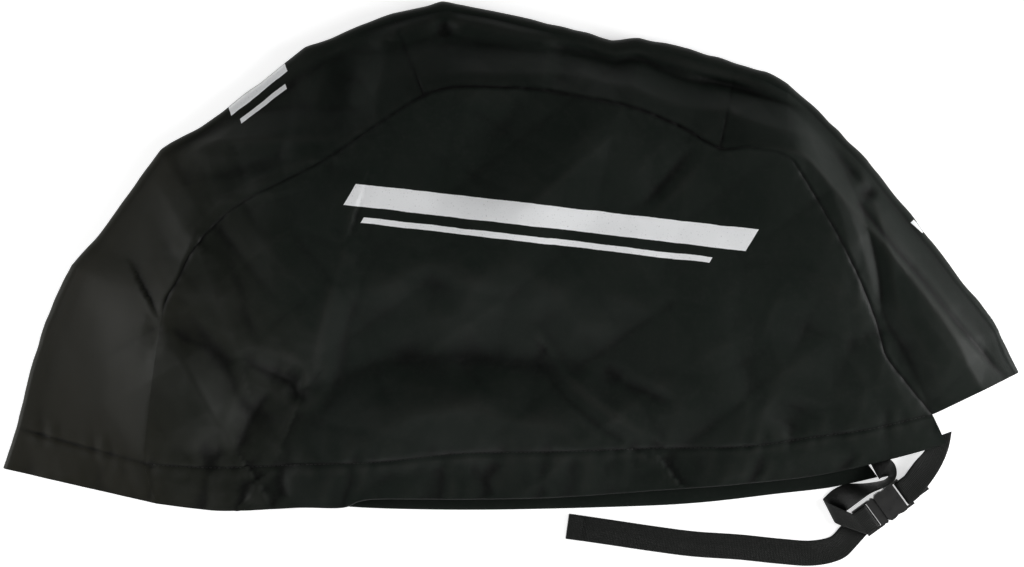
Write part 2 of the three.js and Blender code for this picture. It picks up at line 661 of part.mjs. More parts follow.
/** The short webbing: from the near hem, round the socket's bar and sewn back under itself. */
function anchorStrap() {
  return webbing('anchor_strap', [
    ...looseStations(ANCHOR_ROUTE),
    ...barStations(SOCKET_BAR, -1, ANCHOR_LEAD, ANCHOR_SEWN),
  ]);
}

/** The long webbing: from the far hem, round the plug's ladder bar and out to its loose tail. */
function pullStrap() {
  const tail = looseStations(TAIL_ROUTE);
  tail.slice(-TAIL_END_STATIONS).forEach((station) => {
    station.thick = 2 * WEBBING_THICK;
    station.point.z += WEBBING_THICK / 2;
  });
  return webbing('pull_strap', [
    ...looseStations(PULL_ROUTE),
    ...barStations(LADDER_BAR, 1, LADDER_LEAD, LADDER_LEAD),
    ...tail,
  ]);
}

/** A box on plan and in height, from its low corner to its high corner, in the buckle's frame. */
function block(low, high) {
  const size = high.map((value, k) => value - low[k]);
  const geometry = new THREE.BoxGeometry(...size);
  geometry.translate(...low.map((value, k) => value + size[k] / 2));
  return solidOf(geometry);
}

/** A round bar across the buckle for webbing to turn on. */
function bar(x, halfWidth) {
  const geometry = new THREE.CylinderGeometry(BAR_RADIUS, BAR_RADIUS, 2 * halfWidth, 2 * BAR_SIDES);
  geometry.translate(x, 0, 0);
  return solidOf(geometry);
}

/** A plate with its long sides drawn in at the waist and its corners taken off. */
function waisted(from, to, half, { waist, corner }, thick) {
  const run = 0.3 * (to - from);
  const side = [
    [from + corner, -half], [from + run, -half], [(from + to) / 2, -half + waist],
    [to - run, -half], [to - corner, -half], [to, -half + corner],
  ];
  const other = side.map(([x, y]) => [x, -y]).reverse();
  const points = [...side, ...other, [from, half - corner], [from, -half + corner]];
  return solidOf(plate(points.map(([x, y]) => new THREE.Vector2(x, y)), thick, -thick / 2));
}

/** Two blocks, one on each side of the buckle's middle line, from near to far off it. */
function sideBlocks(from, to, near, far, tall) {
  const left = block([from, -far, -tall], [to, -near, tall]);
  return left.add(block([from, near, -tall], [to, far, tall]));
}

/** The socket: a flat box open at its mouth and at its two sides, with a bar for the webbing. */
function buckleSocket() {
  const half = BUCKLE.width / 2;
  const rail = half - RAIL_WIDTH;
  const tall = POCKET.tall / 2;
  const shell = waisted(GAP / 2, SOCKET_BODY, half, SHELL, BUCKLE.thick);
  const pocket = block([-ROOT, -POCKET.half, -tall], [POCKET.deep, POCKET.half, tall]);
  const windows = block([WINDOW.from, -half - ROOT, -tall], [WINDOW.to, half + ROOT, tall]);
  const railsFrom = SOCKET_BODY - ROOT;
  const railsTo = SOCKET_BAR + BAR_MARGIN;
  const rails = sideBlocks(railsFrom, railsTo, rail, half - RAIL_SET_IN, RAIL_TALL / 2);
  return shell.subtract(pocket).subtract(windows).add(rails).add(bar(SOCKET_BAR, rail + ROOT / 2));
}

/** The plug: a shoulder with a centre guide and two springy prongs, and the ladder for the webbing. */
function bucklePlug() {
  const rail = BUCKLE.width / 2 - RAIL_WIDTH;
  const tall = POCKET.tall / 2 - GAP;
  const shoulder = waisted(PLUG_SHOULDER, -GAP / 2, SHOULDER.half, SHOULDER, SHOULDER.thick);
  const guide = block([-ROOT, -GUIDE.half, -tall], [GUIDE.end, GUIDE.half, tall]);
  const tip = WINDOW.to - PRONG.play;
  const prongs = sideBlocks(-ROOT, tip, PRONG.inside, POCKET.half - GAP, tall);
  const barbs = sideBlocks(WINDOW.from + PRONG.play, tip, PRONG.barbInside, PRONG.barbOutside, tall);
  const rails = sideBlocks(PLUG_END, PLUG_SHOULDER + ROOT, rail, SHOULDER.half, RAIL_TALL / 2);
  const outer = block(
    [PLUG_END, -rail - ROOT / 2, -OUTER_BAR_TALL / 2],
    [OUTER_BAR_INSIDE, rail + ROOT / 2, OUTER_BAR_TALL / 2],
  );
  const ladder = bar(LADDER_BAR, rail + ROOT / 2);
  return shoulder.add(guide).add(prongs).add(barbs).add(rails).add(outer).add(ladder);
}

/** A part of the buckle, set in its place. */
function buckleMesh(name, solid) {
  const mesh = meshOf(name, solid, BUCKLE_COLOUR, BUCKLE_ROUGHNESS);
  const place = bucklePlace();
  mesh.position.copy(place.position);
  mesh.rotation.copy(place.rotation);
  return mesh;
}

const frontJoin = nearestIndex(FRONT_JOIN_ROW);
const rearJoin = nearestIndex(REAR_JOIN_ROW);
const cover = new THREE.Group();
cover.add(
  upperPanel(),
  lowerPanel(),
  gussetPiece('front_panel', 0, frontJoin, CLOTH_COLOUR),
  gussetPiece('top_panel', frontJoin, rearJoin, CLOTH_COLOUR),
  gussetPiece('rear_panel', rearJoin, allPlaces.length - 1, CLOTH_COLOUR),
  anchorStrap(),
  pullStrap(),
  buckleMesh('buckle_socket', buckleSocket()),
  buckleMesh('buckle_plug', bucklePlug()),
);

export default cover;
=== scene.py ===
"""The looks of a fitted cloth cover for an outboard motor, empty and lying on its side on a pale floor.

The cloth is worked out in millimetres, on a fine grid, from the same sections and edges as the model
in the frame. Its folds are its own: more of them than the model has, and some much deeper. Between
them lie small random creases.
"""
import math

import bmesh
import bpy
import numpy as np
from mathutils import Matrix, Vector


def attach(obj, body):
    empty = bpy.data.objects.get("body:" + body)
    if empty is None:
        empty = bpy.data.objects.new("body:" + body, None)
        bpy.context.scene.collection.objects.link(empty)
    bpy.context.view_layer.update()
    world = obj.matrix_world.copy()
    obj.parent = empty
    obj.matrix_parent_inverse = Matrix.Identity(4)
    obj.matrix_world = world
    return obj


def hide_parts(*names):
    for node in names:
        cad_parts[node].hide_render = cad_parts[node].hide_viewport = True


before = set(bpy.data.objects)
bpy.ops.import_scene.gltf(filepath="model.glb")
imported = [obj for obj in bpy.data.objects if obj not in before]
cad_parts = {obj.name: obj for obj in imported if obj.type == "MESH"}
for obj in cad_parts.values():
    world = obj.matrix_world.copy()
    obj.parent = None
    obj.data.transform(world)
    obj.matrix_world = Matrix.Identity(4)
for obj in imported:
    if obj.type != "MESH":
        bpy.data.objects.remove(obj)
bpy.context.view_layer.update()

MM = 0.001


def rows(columns, *table):
    """The rows of a table, each under the names of its columns."""
    return [dict(zip(columns.split(), row)) for row in table]



# The camera, straight above the middle of the cover
PICTURE_WIDTH = 1024 * 0.98 * MM    # what the picture's width covers, at the height of the cloth's edge
CAMERA_HEIGHT = 3.2
EDGE_HEIGHT = 10 * MM
SENSOR = 36.0

# The floor, and the light from all round
FLOOR_HALF = 6.0            # half the floor's side
FLOOR_GLOW = 0.6
WORLD_LIGHT = 0.13

# The cloth
CLOTH = 0.8                 # thickness of the coated cloth
HEM_TURN = 1.5              # from the middle of the outer layer to the middle of the layer turned up
WEBBING = 25.0
WEBBING_THICK = 1.3
SHARP = 50.0                # edges that turn by more than this are sharp
CLOTH_CLEAR = 0.02          # least height of the cloth above the floor, and of the webbing
WEBBING_CLEAR = 0.05

# Sections round the arch, from the front foot to the rear foot. seam is where the gusset meets
# the upper side panel and lift is its height there. edge is the folded edge of the cover, where
# the cloth turns with radius roll. under is how far the lower seam lies from below the upper one.
# bend is the share of the gusset's width that stays level before it falls to that edge.
ARCH = rows(
    "seam edge lift roll under bend",
    ((-347, -215), (-499, -181), 21, 5, (-8, 8), 0),
    ((-358, -176), (-487, -141), 27, 6, (-8, 4), 0),
    ((-353, -124), (-472, -83), 34, 6, (-8, 0), 0),
    ((-345, -70), (-457, -38), 40, 6, (-8, 0), 0),
    ((-337, -22), (-433, 18), 45, 7, (-6, 0), 0),
    ((-324, 3), (-409, 43), 47, 7, (-6, 2), 0.02),
    ((-312, 27), (-374, 90), 49, 7, (-6, 4), 0.06),
    ((-292, 53), (-344, 131), 50, 7, (-4, 6), 0.12),
    ((-261, 79), (-294, 162), 50, 7, (-4, 6), 0.13),
    ((-208, 106), (-235, 206), 50, 7, (-2, 8), 0.1),
    ((-183, 119), (-203, 231), 51, 8, (-2, 8), 0),
    ((-159, 134), (-176, 241), 52, 8, (-2, 8), 0),
    ((-124, 158), (-149, 253), 55, 8, (0, 8), 0),
    ((-85, 182), (-118, 265), 57, 9, (0, 8), 0),
    ((-56, 190), (-68, 276), 58, 9, (0, 8), 0),
    ((-7, 190), (-20, 268), 57, 9, (0, 8), 0),
    ((32, 187), (32, 256), 54, 9, (0, 8), 0),
    ((76, 179), (74, 246), 52, 9, (0, 8), 0),
    ((98, 175), (98, 239), 51, 9, (0, 8), 0),
    ((125, 168), (125, 241), 50, 9, (0, 8), 0),
    ((165, 151), (174, 230), 50, 9, (2, 8), 0),
    ((201, 131), (220, 216), 52, 9, (2, 8), 0),
    ((231, 132), (248, 208), 54, 9, (4, 6), 0),
    ((266, 123), (270, 196), 54, 9, (6, 6), 0.1),
    ((284, 100), (294, 175), 52, 8, (8, 4), 0.3),
    ((314, 50), (347, 122), 48, 8, (6, 4), 0.4),
    ((331, 17), (383, 77), 44, 7, (4, 2), 0.5),
    ((345, -14), (412, 41), 40, 7, (0, 0), 0.57),
    ((357, -44), (446, -3), 35, 7, (-6, -2), 0.62),
    ((365, -71), (478, -46), 31, 6, (-8, -8), 0.64),
    ((389, -102), (487, -69), 26, 6, (-26, -20), 0.62),
    ((411, -128), (497, -87), 21, 5, (-41, -20), 0.6),
)
STITCH_ROW = 1              # rows where the pieces change over
SHOULDER_ROW = 8
FRONT_JOIN_ROW = 13
REAR_JOIN_ROW = 21
REAR_TOP_ROW = 23
LAST_ROW = len(ARCH) - 1

# The near hem: its lower edge and its stitch line, with the height at each place
HEM_EDGE = rows(
    "at lift",
    ((-347, -215), 21),
    ((-284, -222), 18),
    ((-208, -219), 17),
    ((-166, -219), 19),
    ((-138, -211), 20),
    ((-51, -211), 18),
    ((47, -209), 17),
    ((145, -202), 18),
    ((223, -196), 18),
    ((302, -187), 17),
    ((370, -172), 16),
    ((425, -157), 15),
)
STITCH_LINE = rows(
    "at lift",
    ((-358, -176), 27),
    ((-286, -180), 25),
    ((-208, -177), 24),
    ((-129, -174), 25),
    ((-51, -166), 25),
    ((47, -164), 24),
    ((145, -161), 24),
    ((228, -159), 25),
    ((302, -149), 24),
    ((351, -142), 23),
    ((411, -128), 21),
)
# The far hem's edge on the floor, from its front foot to the end of its casing at the rear
FAR_HEM = [
    (-355, -207), (-284, -215), (-208, -214), (-144, -220), (-31, -222), (106, -219),
    (184, -215), (263, -206), (313, -200), (359, -190),
]
# The end of its casing at the rear, from its edge up
FAR_END = [(359, -190), (346, -166), (370, -148)]
HEM_DEPTH = 40.0
CROWN = 9.0                 # rise of the upper panel above the straight spread between its edges

# Folds in the upper cloth. rise is the height of a crest, or the depth of a trough where it is
# negative, and left and right are its widths on the two sides of its path.
FOLDS = rows(
    "what shape rise left right path",
    ("front shoulder crest", "crisp", 4.5, 12, 14,
     [(-327, 138), (-267, 140), (-208, 140), (-164, 140)]),
    ("under the shoulder crest", "soft", -4, 12, 9, [(-291, 101), (-247, 111), (-193, 120)]),
    ("streak beside the seam", "soft", 3, 7, 6, [(-272, 86), (-237, 99), (-193, 113)]),
    ("star, long ray", "crisp", -2.6, 10, 7, [(-338, -41), (-306, -58), (-267, -77)]),
    ("star, short ray", "crisp", -1.2, 4, 6, [(-339, -36), (-343, -49), (-349, -65)]),
    ("crest below the star", "crisp", 9, 13, 34,
     [(-339, -40), (-311, -90), (-291, -129), (-272, -159)]),
    ("crest in the front third", "crisp", 4.5, 9, 20, [(-293, 11), (-278, -36), (-266, -73)]),
    ("knot", "crisp", -5, 8, 6, [(-250, -80), (-218, -94), (-208, -106), (-196, -97)]),
    ("sharp upright crest", "crisp", 5.2, 12, 36,
     [(-162, 35), (-178, -16), (-186, -46), (-193, -80), (-201, -101)]),
    ("small trough", "soft", -1.5, 8, 9, [(-241, -32), (-214, -67)]),
    ("trough to the hem", "crisp", -4.2, 14, 9,
     [(-234, -102), (-252, -125), (-266, -158), (-276, -174)]),
    ("patch above the hem", "soft", -3.5, 10, 9, [(-310, -165), (-276, -165)]),
    ("great trough", "broad", -12.5, 34, 20,
     [(-223, -165), (-190, -126), (-160, -98), (-130, -82), (-98, -71), (-54, -68), (8, -75),
      (64, -90), (98, -113), (125, -146)]),
    ("crest over the great trough", "broad", 2, 26, 18,
     [(-205, -120), (-160, -72), (-100, -38), (-40, -28), (30, -40)]),
    ("crest under the great trough", "broad", 5.5, 17, 24,
     [(-214, -172), (-160, -140), (-100, -122), (-30, -118), (40, -125), (90, -148)]),
    ("crest at its rear leg", "crisp", 4, 16, 7, [(43, -75), (76, -112), (130, -147)]),
    ("small wrinkle", "crisp", -1.1, 4, 5, [(86, -84), (111, -92)]),
    ("longer wrinkle", "crisp", -1.4, 4, 6, [(102, -96), (125, -104), (153, -115)]),
    ("rear trough", "soft", -5, 18, 20, [(253, -28), (312, -53), (365, -68)]),
    ("rear fork", "soft", -2.4, 12, 13, [(216, -57), (235, -97), (253, -116)]),
    ("rear nick", "crisp", -1.4, 4, 5, [(337, -51), (365, -47)]),
    ("rear trough to the hem", "soft", -2.4, 10, 11, [(286, -110), (267, -151)]),
    ("slanting crease", "crisp", -2, 6, 10, [(172, 129), (150, 101), (126, 76)]),
    ("broad hollow", "soft", -5, 32, 32, [(10, 184), (-22, 131), (-53, 68)]),
    ("broad swell", "soft", 4.5, 26, 28, [(108, 168), (47, 121), (-14, 74)]),
    ("hollow by the front seam", "soft", -4, 14, 14, [(-303, 33), (-274, 60), (-232, 82)]),
    ("crest of the top edge", "crisp", 5, 5, 9,
     [(-149, 246), (-110, 251), (-69, 267), (-31, 258), (8, 248), (47, 246), (86, 236),
      (123, 229)]),
    ("hollow below that crest", "soft", -4.5, 8, 11, [(-95, 235), (-41, 232), (47, 232), (108, 222)]),
    ("peak crease", "crisp", -3, 5, 6, [(-66, 270), (-64, 237)]),
    ("top trough", "crisp", -6.5, 7, 11,
     [(59, 236), (91, 222), (125, 221), (145, 209), (174, 199), (214, 194), (253, 180),
      (292, 170)]),
    ("crest over the top trough", "crisp", 3, 6, 6, [(122, 234), (184, 219), (243, 199), (274, 187)]),
    ("upright hollow", "soft", -4, 9, 10, [(-150, 223), (-160, 185), (-156, 145)]),
    ("faint upright", "soft", -1.5, 6, 6, [(55, 222), (42, 187)]),
    ("rear tuck", "crisp", -3.6, 6, 9,
     [(309, 147), (320, 120), (338, 78), (349, 40), (356, 8), (361, -27), (372, -48), (380, -60),
      (395, -90), (411, -129)]),
    ("crest before the tuck", "crisp", 1.6, 8, 8, [(316, 92), (332, 56), (344, 20), (352, -12)]),
    ("rear crease", "line", -1.4, 3, 3,
     [(338, 76), (366, 42), (396, 8), (428, -31), (459, -67), (481, -90)]),
    ("dart at the rear edge", "crisp", -2.4, 4, 5, [(363, 104), (341, 80)]),
    ("rear corner swell", "soft", 1, 14, 16, [(405, -46), (434, -77), (464, -87)]),
)

# How far a fold's flat sides reach, in its widths, and how round its line is
FOLD_SHAPES = {"crisp": (2.3, 1.2), "soft": (2.2, 7.0), "broad": (2.0, 16.0), "line": (1.5, 1.0)}

# Puckers of the drawn hem: place along it, how deep each one is, and how wide
PUCKERS = rows(
    "x depth width",
    (-352, 2.2, 7),
    (-298, 4, 9),
    (-258, 4, 9),
    (-226, 4.2, 11),
    (-160, 4.5, 10),
    (-68, 4, 9),
    (-24, 4, 11),
    (28, 2.5, 8),
    (62, 3, 10),
    (236, 4, 9),
    (326, 4, 8),
)

# Grid steps along the pieces
LEG_STEPS = 124             # along the front seam, and along the rear seam
TOP_STEPS = 256             # along the top seam
HEM_STEPS = 16              # up the hem, on its outside
TURN_STEPS = 6              # round the hem's lower edge
FOLDED_STEPS = 8            # up the hem's inner layer
GUSSET_STEPS = 44           # across the gusset's upper half
ROLL_STEPS = 14             # round its folded edge
FLOOR_STEPS = 10            # across its lower half
REAR_HEM_STEPS = 7          # along the rear end that is turned up
FOLD_FADE = 16.0            # the folds die out over this width at the folded edge

FACETED = 0.7               # how far the folded edge runs straight between its sections
FLAT_FALL = 0.85            # how flat the gusset falls from its seam to the folded edge

# Seams and stitching
SEAM_DEPTH = 1.3
SEAM_WIDTH = 1.7
SEAM_SHADE = 2.3            # how wide the painted shade along a seam is to each side
EDGE_SHADE = -0.8           # painted shade on the hem's turned edge and inner layer, on the scale of crest_of
CREST_RISE = 0.9             # how far a crest stands over the cloth round it to be fully lighter, or a crease lies under it for full painted shade
# how strongly the painted shade along the seams darkens the cloth
SHADE_GAIN = 1.35
# How clearly the long seam shows at places along the arch
SEAM_SHOWS = rows(
    "place shows",
    (1, 0.08),
    (3.7, 0.12),
    (4.2, 0.9),
    (7, 0.7),
    (9, 0.55),
    (12, 0.6),
    (14, 0.95),
    (17, 0.7),
    (20, 1.1),
    (22.6, 0.3),
    (24, 0.6),
    (27, 0.9),
    (31, 0.8),
)
FACET = 84.0                # size of the flat places between the cloth's small creases
FACET_RISE = 6.0
SMALL_FACET = 38.0
SMALL_FACET_RISE = 2.3
FOLD_REACH = 3.2            # how far a fold is felt, in its widths
SEAM_REACH = 30             # how far the long seam, a cross seam, the hem and a dark line are felt
JOIN_REACH = 24
HEM_REACH = 60
SHADE_REACH = 12
GATHER = 0.6                # how deep and how wide the cloth is drawn in beside a seam
GATHER_WIDTH = 11.0
FOLD_GAIN = 1.45            # a factor on every rise in the table of folds
HEM_STEP = 0.5              # how far the hem stands above the cloth next to it
STITCH_DEPTH = 1.0
STITCH_WIDTH = 2.2
STITCH_LENGTH = 3.2
STITCH_PITCH = 4.2
THREAD = 0.55
BESIDE_SEAM = (0.7, 1.5, 2.7)     # lines of the grid close beside a seam
ROW_SPACING = 45.0                # from one row of the arch to the next, about
TOP_SEAM = 570.0                  # lengths of the seams round the upper panel, about
LEG_SEAM = 330.0
GUSSET_WIDTH = 95.0
PUCKER_TOP = -150.0
PUCKER_FADE = 34.0


def column(table, key):
    """One column of a table as an array."""
    return np.array([row[key] for row in table], float)


def smooth(values, place):
    """Reads a table of numbers or points at places between its rows, smoothly."""
    values = np.asarray(values, float)
    place = np.atleast_1d(np.asarray(place, float))
    last = len(values) - 1
    i = np.clip(np.floor(place).astype(int), 0, last - 1)
    t = place - i
    if values.ndim > 1:
        t = t[:, None]
    p0, p1 = values[np.maximum(i - 1, 0)], values[i]
    p2, p3 = values[i + 1], values[np.minimum(i + 2, last)]
    before, after = (p2 - p0) / 2, (p3 - p1) / 2
    return ((2 * t**3 - 3 * t**2 + 1) * p1 + (t**3 - 2 * t**2 + t) * before
            + (3 * t**2 - 2 * t**3) * p2 + (t**3 - t**2) * after)


def unit(vectors):
    """Vectors of length one, the same way."""
    return vectors / np.maximum(np.linalg.norm(vectors, axis=-1, keepdims=True), 1e-9)


def ramp(value):
    """A smooth step from 0 to 1."""
    value = np.clip(value, 0, 1)
    return value * value * (3 - 2 * value)


def run_along(points):
    """The length run along a line of points, at each of them."""
    steps = np.linalg.norm(np.diff(points, axis=0), axis=1)
    return np.concatenate([[0], np.cumsum(steps)])


def dense(path, spacing=4.0):
    """A smooth line of closely spaced points through a path."""
    path = np.asarray(path, float)
    fine = smooth(path, np.linspace(0, len(path) - 1, 12 * len(path)))
    run = run_along(fine)
    count = max(2, int(run[-1] / spacing) + 1)
    want = np.linspace(0, run[-1], count)
    return np.stack([np.interp(want, run, fine[:, k]) for k in range(path.shape[1])], axis=1)


def lattice(x, y, seed):
    """Smooth random heights from -1 to 1 on plan, one unit apart, the same each run."""
    size = 97
    table = np.random.default_rng(seed).uniform(-1, 1, (size, size))
    x0, y0 = np.floor(x).astype(int), np.floor(y).astype(int)
    tx, ty = ramp(x - x0), ramp(y - y0)
    a, b = table[x0 % size, y0 % size], table[(x0 + 1) % size, y0 % size]
    c, d = table[x0 % size, (y0 + 1) % size], table[(x0 + 1) % size, (y0 + 1) % size]
    return (a * (1 - tx) + b * tx) * (1 - ty) + (c * (1 - tx) + d * tx) * ty


def near_path(points, path):
    """For many points on plan: how far the path is, on which side, and how far along it."""
    run = run_along(path)
    best = np.full(len(points), np.inf)
    side = np.ones(len(points))
    fraction = np.zeros(len(points))
    for k in range(len(path) - 1):
        way = path[k + 1] - path[k]
        length = run[k + 1] - run[k]
        from_start = points - path[k]
        t = np.clip(from_start @ way / length**2, 0, 1)
        away = from_start - t[:, None] * way
        distance = np.hypot(away[:, 0], away[:, 1])
        nearer = distance < best
        best[nearer] = distance[nearer]
        turned = way[0] * from_start[:, 1] - way[1] * from_start[:, 0]
        side[nearer] = np.sign(turned[nearer])
        fraction[nearer] = ((run[k] + t * length) / run[-1])[nearer]
    return best, side, fraction


def add_near(points, height, path, reach, form):
    """Adds a form to the heights of the points within reach of a path."""
    low, high = path.min(axis=0) - reach, path.max(axis=0) + reach
    near = np.all((points > low) & (points < high), axis=1)
    if near.any():
        height[near] += form(points[near], *near_path(points[near], path))


def straight(values, place):
    """Reads a table of numbers or points at places between its rows, along straight lines."""
    rows = np.arange(len(values))
    values = np.asarray(values, float)
    return np.stack([np.interp(place, rows, values[:, k]) for k in range(values.shape[1])], axis=1)


def arch(place):
    """The sections of the arch at places between its rows."""
    place = np.atleast_1d(np.asarray(place, float))
    seam, edges = smooth(column(ARCH, "seam"), place), column(ARCH, "edge")
    edge = smooth(edges, place) * (1 - FACETED) + straight(edges, place) * FACETED
    return dict(
        seam=seam, edge=edge, out=unit(edge - seam), width=np.linalg.norm(edge - seam, axis=1),
        under=smooth(column(ARCH, "under"), place), bend=smooth(column(ARCH, "bend"), place),
        lift=smooth(column(ARCH, "lift"), place), roll=smooth(column(ARCH, "roll"), place),
    )


def drawn_in(steps, length, both=True):
    """Even shares from 0 to 1 of a length, with closer ones beside the seams at its ends."""
    low = np.array([0, *BESIDE_SEAM]) / length
    high = 1 - low[::-1] if both else np.array([1.0])
    even = np.linspace(0, 1, steps + 1)
    clear = 0.4 / steps
    return np.concatenate([low, even[(even > low[-1] + clear) & (even < high[0] - clear)], high])


def places_at(first, last, shares):
    """Places between two rows of the arch, at shares of the seam's length between them."""
    fine = np.linspace(first, last, int(24 * (last - first)) + 1)
    run = run_along(arch(fine)["seam"])
    return np.interp(shares * run[-1], run, fine)


def seam_points(place):
    """Points of the upper seam with their heights."""
    section = arch(place)
    return np.column_stack([section["seam"], section["lift"]])


def edge_points(table, fraction):
    """Points and heights on an edge table, at fractions of its length."""
    at = column(table, "at")
    place = np.interp(np.asarray(fraction) * run_along(at)[-1], run_along(at), np.arange(len(at)))
    return smooth(np.column_stack([at, column(table, "lift")]), place)


def facets(x, y, size, seed):
    """Random heights joined by flat three-cornered places, as in creased cloth, from -1 to 1."""
    bent_x = x + 0.14 * size * lattice(x / size / 1.7, y / size / 1.7, seed + 40)
    bent_y = y + 0.14 * size * lattice(x / size / 1.7 + 31, y / size / 1.7, seed + 40)
    across = bent_y / (0.866 * size)
    along = bent_x / size - 0.5 * across
    i, j = np.floor(along).astype(int), np.floor(across).astype(int)
    s, t = along - i, across - j
    count = 89
    table = np.random.default_rng(seed).uniform(-1, 1, (count, count))

    def corner(di, dj):
        return table[(i + di) % count, (j + dj) % count]

    low = corner(0, 0) * (1 - s - t) + corner(1, 0) * s + corner(0, 1) * t
    high = corner(1, 1) * (s + t - 1) + corner(0, 1) * (1 - s) + corner(1, 0) * (1 - t)
    return np.where(s + t < 1, low, high)


def tent(distance, width, blunt=1.2):
    """A crease with flat sides, from 1 on its line to 0 at its width, rounded by blunt."""
    part = 1 - (np.sqrt(distance**2 + blunt**2) - blunt) / width
    return 0.5 * (part + np.sqrt(part**2 + 0.008))


def fold_form(fold):
    """The height that one fold gives to points near its path."""
    def form(points, distance, side, fraction):
        wander = lattice(points[:, 0] / 40, points[:, 1] / 40, 5)
        swell = 1 + 0.12 * lattice(points[:, 0] / 34 + 9, points[:, 1] / 34, 6)
        width = np.where(side > 0, fold["left"], fold["right"]) * (1 + 0.15 * wander)
        ends = np.minimum(fraction, 1 - fraction)
        taper = 0.35 + 0.65 * np.clip(ends / 0.3, 0, 1)
        reach, blunt = FOLD_SHAPES[fold["shape"]]
        return FOLD_GAIN * fold["rise"] * taper * swell * tent(distance, reach * width, blunt)
    return form


def seam_shows(fraction):
    """How clearly the long seam shows at fractions of its length."""
    rows = column(SEAM_SHOWS, "place")
    fine = np.linspace(STITCH_ROW, LAST_ROW, 400)
    run = run_along(arch(fine)["seam"])
    at = np.interp(rows, fine, run / run[-1])
    return np.interp(fraction, at, column(SEAM_SHOWS, "shows"))


def groove_form(depth, width, shows):
    """A seam's thin groove, uneven along its length, with the cloth drawn in beside it."""
    def form(points, distance, side, fraction):
        pull = 0.5 * (1 + lattice(points[:, 0] / 7, points[:, 1] / 7, 8))
        clear = shows(fraction)
        groove = -depth * (0.35 + 1.1 * pull) * np.exp(-(distance / width)**2)
        gather = -GATHER * pull * tent(distance, GATHER_WIDTH)
        return clear * (groove + gather)
    return form


def hem_form(points, distance, side, fraction):
    """The stitched groove at the top of the hem, with the step down to the single cloth."""
    gather = lattice(points[:, 0] / 8.5, points[:, 1] / 30, 11)
    deep = 0.8 + 0.5 * lattice(points[:, 0] / 21, points[:, 1] / 60, 12)
    groove = -STITCH_DEPTH * deep * np.exp(-(distance / STITCH_WIDTH)**2)
    step = np.where(side < 0, HEM_STEP * ramp(distance / 3), 0) * np.exp(-(distance / 60)**2)
    return groove + step + 0.75 * gather * np.exp(-(distance / 13)**2)


def hem_puckers(x, y):
    """The depth of the drawn hem's puckers."""
    fade = ramp((PUCKER_TOP - y) / PUCKER_FADE)
    depth = np.zeros(len(x))
    for pucker in PUCKERS:
        lean = pucker["x"] + 0.22 * (y + 190) + 3 * lattice(y / 12, x * 0 + pucker["x"], 13)
        away = x - lean
        width = pucker["width"] * np.where(away > 0, 1.0, 3.0)
        depth += 0.5 * pucker["depth"] * tent(np.abs(away), width, 1.5)
    small = 1.1 * facets(1.2 * x, 0.5 * y, 27, 31) + 0.3 * facets(1.3 * x, 0.7 * y, 12, 32)
    return (depth - small) * fade


def ripples(x, y):
    """The cloth's unevenness everywhere: random flat places with small creases between them."""
    left = ramp((-330 - x) / 30)
    busy = 0.5 + 0.2 * ramp((-90 - x) / 140) - 0.5 * left + 0.2 * ramp((x - 270) / 90)
    turned, across = 0.8 * x + 0.6 * y, 0.8 * y - 0.6 * x
    large = FACET_RISE * facets(0.75 * turned, 1.3 * across, FACET, 1)
    small = SMALL_FACET_RISE * facets(0.8 * across, 1.2 * turned, SMALL_FACET, 2)
    return busy * (large + small)


SEAM_LINE = dense(arch(np.linspace(STITCH_ROW, LAST_ROW, 400))["seam"])
STITCHES = dense(np.concatenate([
    arch(STITCH_ROW)["edge"], edge_points(STITCH_LINE, np.linspace(0, 1, 200))[:, :2],
]))
FOLD_PATHS = [(fold, dense(fold["path"])) for fold in FOLDS]


def join_line(row):
    """The cross seam of the gusset at a row of the arch."""
    section = arch(row)
    return dense(np.array([section["seam"][0], section["edge"][0]]))


def join_shows(fraction):
    """The cross seams show best next to the long seam."""
    return 0.8 - 0.7 * fraction


JOIN_LINES = [join_line(FRONT_JOIN_ROW), join_line(REAR_JOIN_ROW)]


def relief(x, y):
    """How far folds, seams, hem and ripples raise the upper cloth at points on plan."""
    points = np.column_stack([x, y])
    height = ripples(x, y)
    for fold, path in FOLD_PATHS:
        reach = FOLD_REACH * max(fold["left"], fold["right"])
        add_near(points, height, path, reach, fold_form(fold))
    add_near(points, height, SEAM_LINE, SEAM_REACH, groove_form(SEAM_DEPTH, SEAM_WIDTH, seam_shows))
    for line in JOIN_LINES:
        add_near(points, height, line, JOIN_REACH,
                 groove_form(0.7 * SEAM_DEPTH, SEAM_WIDTH, join_shows))
    add_near(points, height, STITCHES, HEM_REACH, hem_form)
    return height - hem_puckers(x, y)


def seam_shade(x, y):
    """Painted shade along the seams, the hem's sewn line and the creases drawn as lines, at points on
    plan, from 0 to 1.
    """
    points = np.column_stack([x, y])
    dark = np.zeros(len(x))

    def along(shows):
        def form(points, distance, side, fraction):
            return shows(fraction) * np.exp(-(distance / SEAM_SHADE)**2)
        return form

    add_near(points, dark, SEAM_LINE, SHADE_REACH, along(seam_shows))
    for line in JOIN_LINES:
        add_near(points, dark, line, SHADE_REACH, along(join_shows))
    add_near(points, dark, STITCHES, SHADE_REACH, along(lambda fraction: 0.4 + 0 * fraction))
    for fold, path in FOLD_PATHS:
        if fold["shape"] == "line":
            add_near(points, dark, path, SHADE_REACH, along(lambda fraction: 0.9 - 0.3 * fraction))
    return np.clip(dark, 0, 1)


def over(grid, form):
    """A value that depends on the place on plan, at each point of a grid."""
    return form(grid[..., 0].ravel(), grid[..., 1].ravel()).reshape(grid.shape[:2])


def normals_of(grid):
    """Unit normals of a grid of points, by its rows and columns."""
    down, across = np.gradient(grid, axis=0), np.gradient(grid, axis=1)
    return unit(np.cross(across, down))


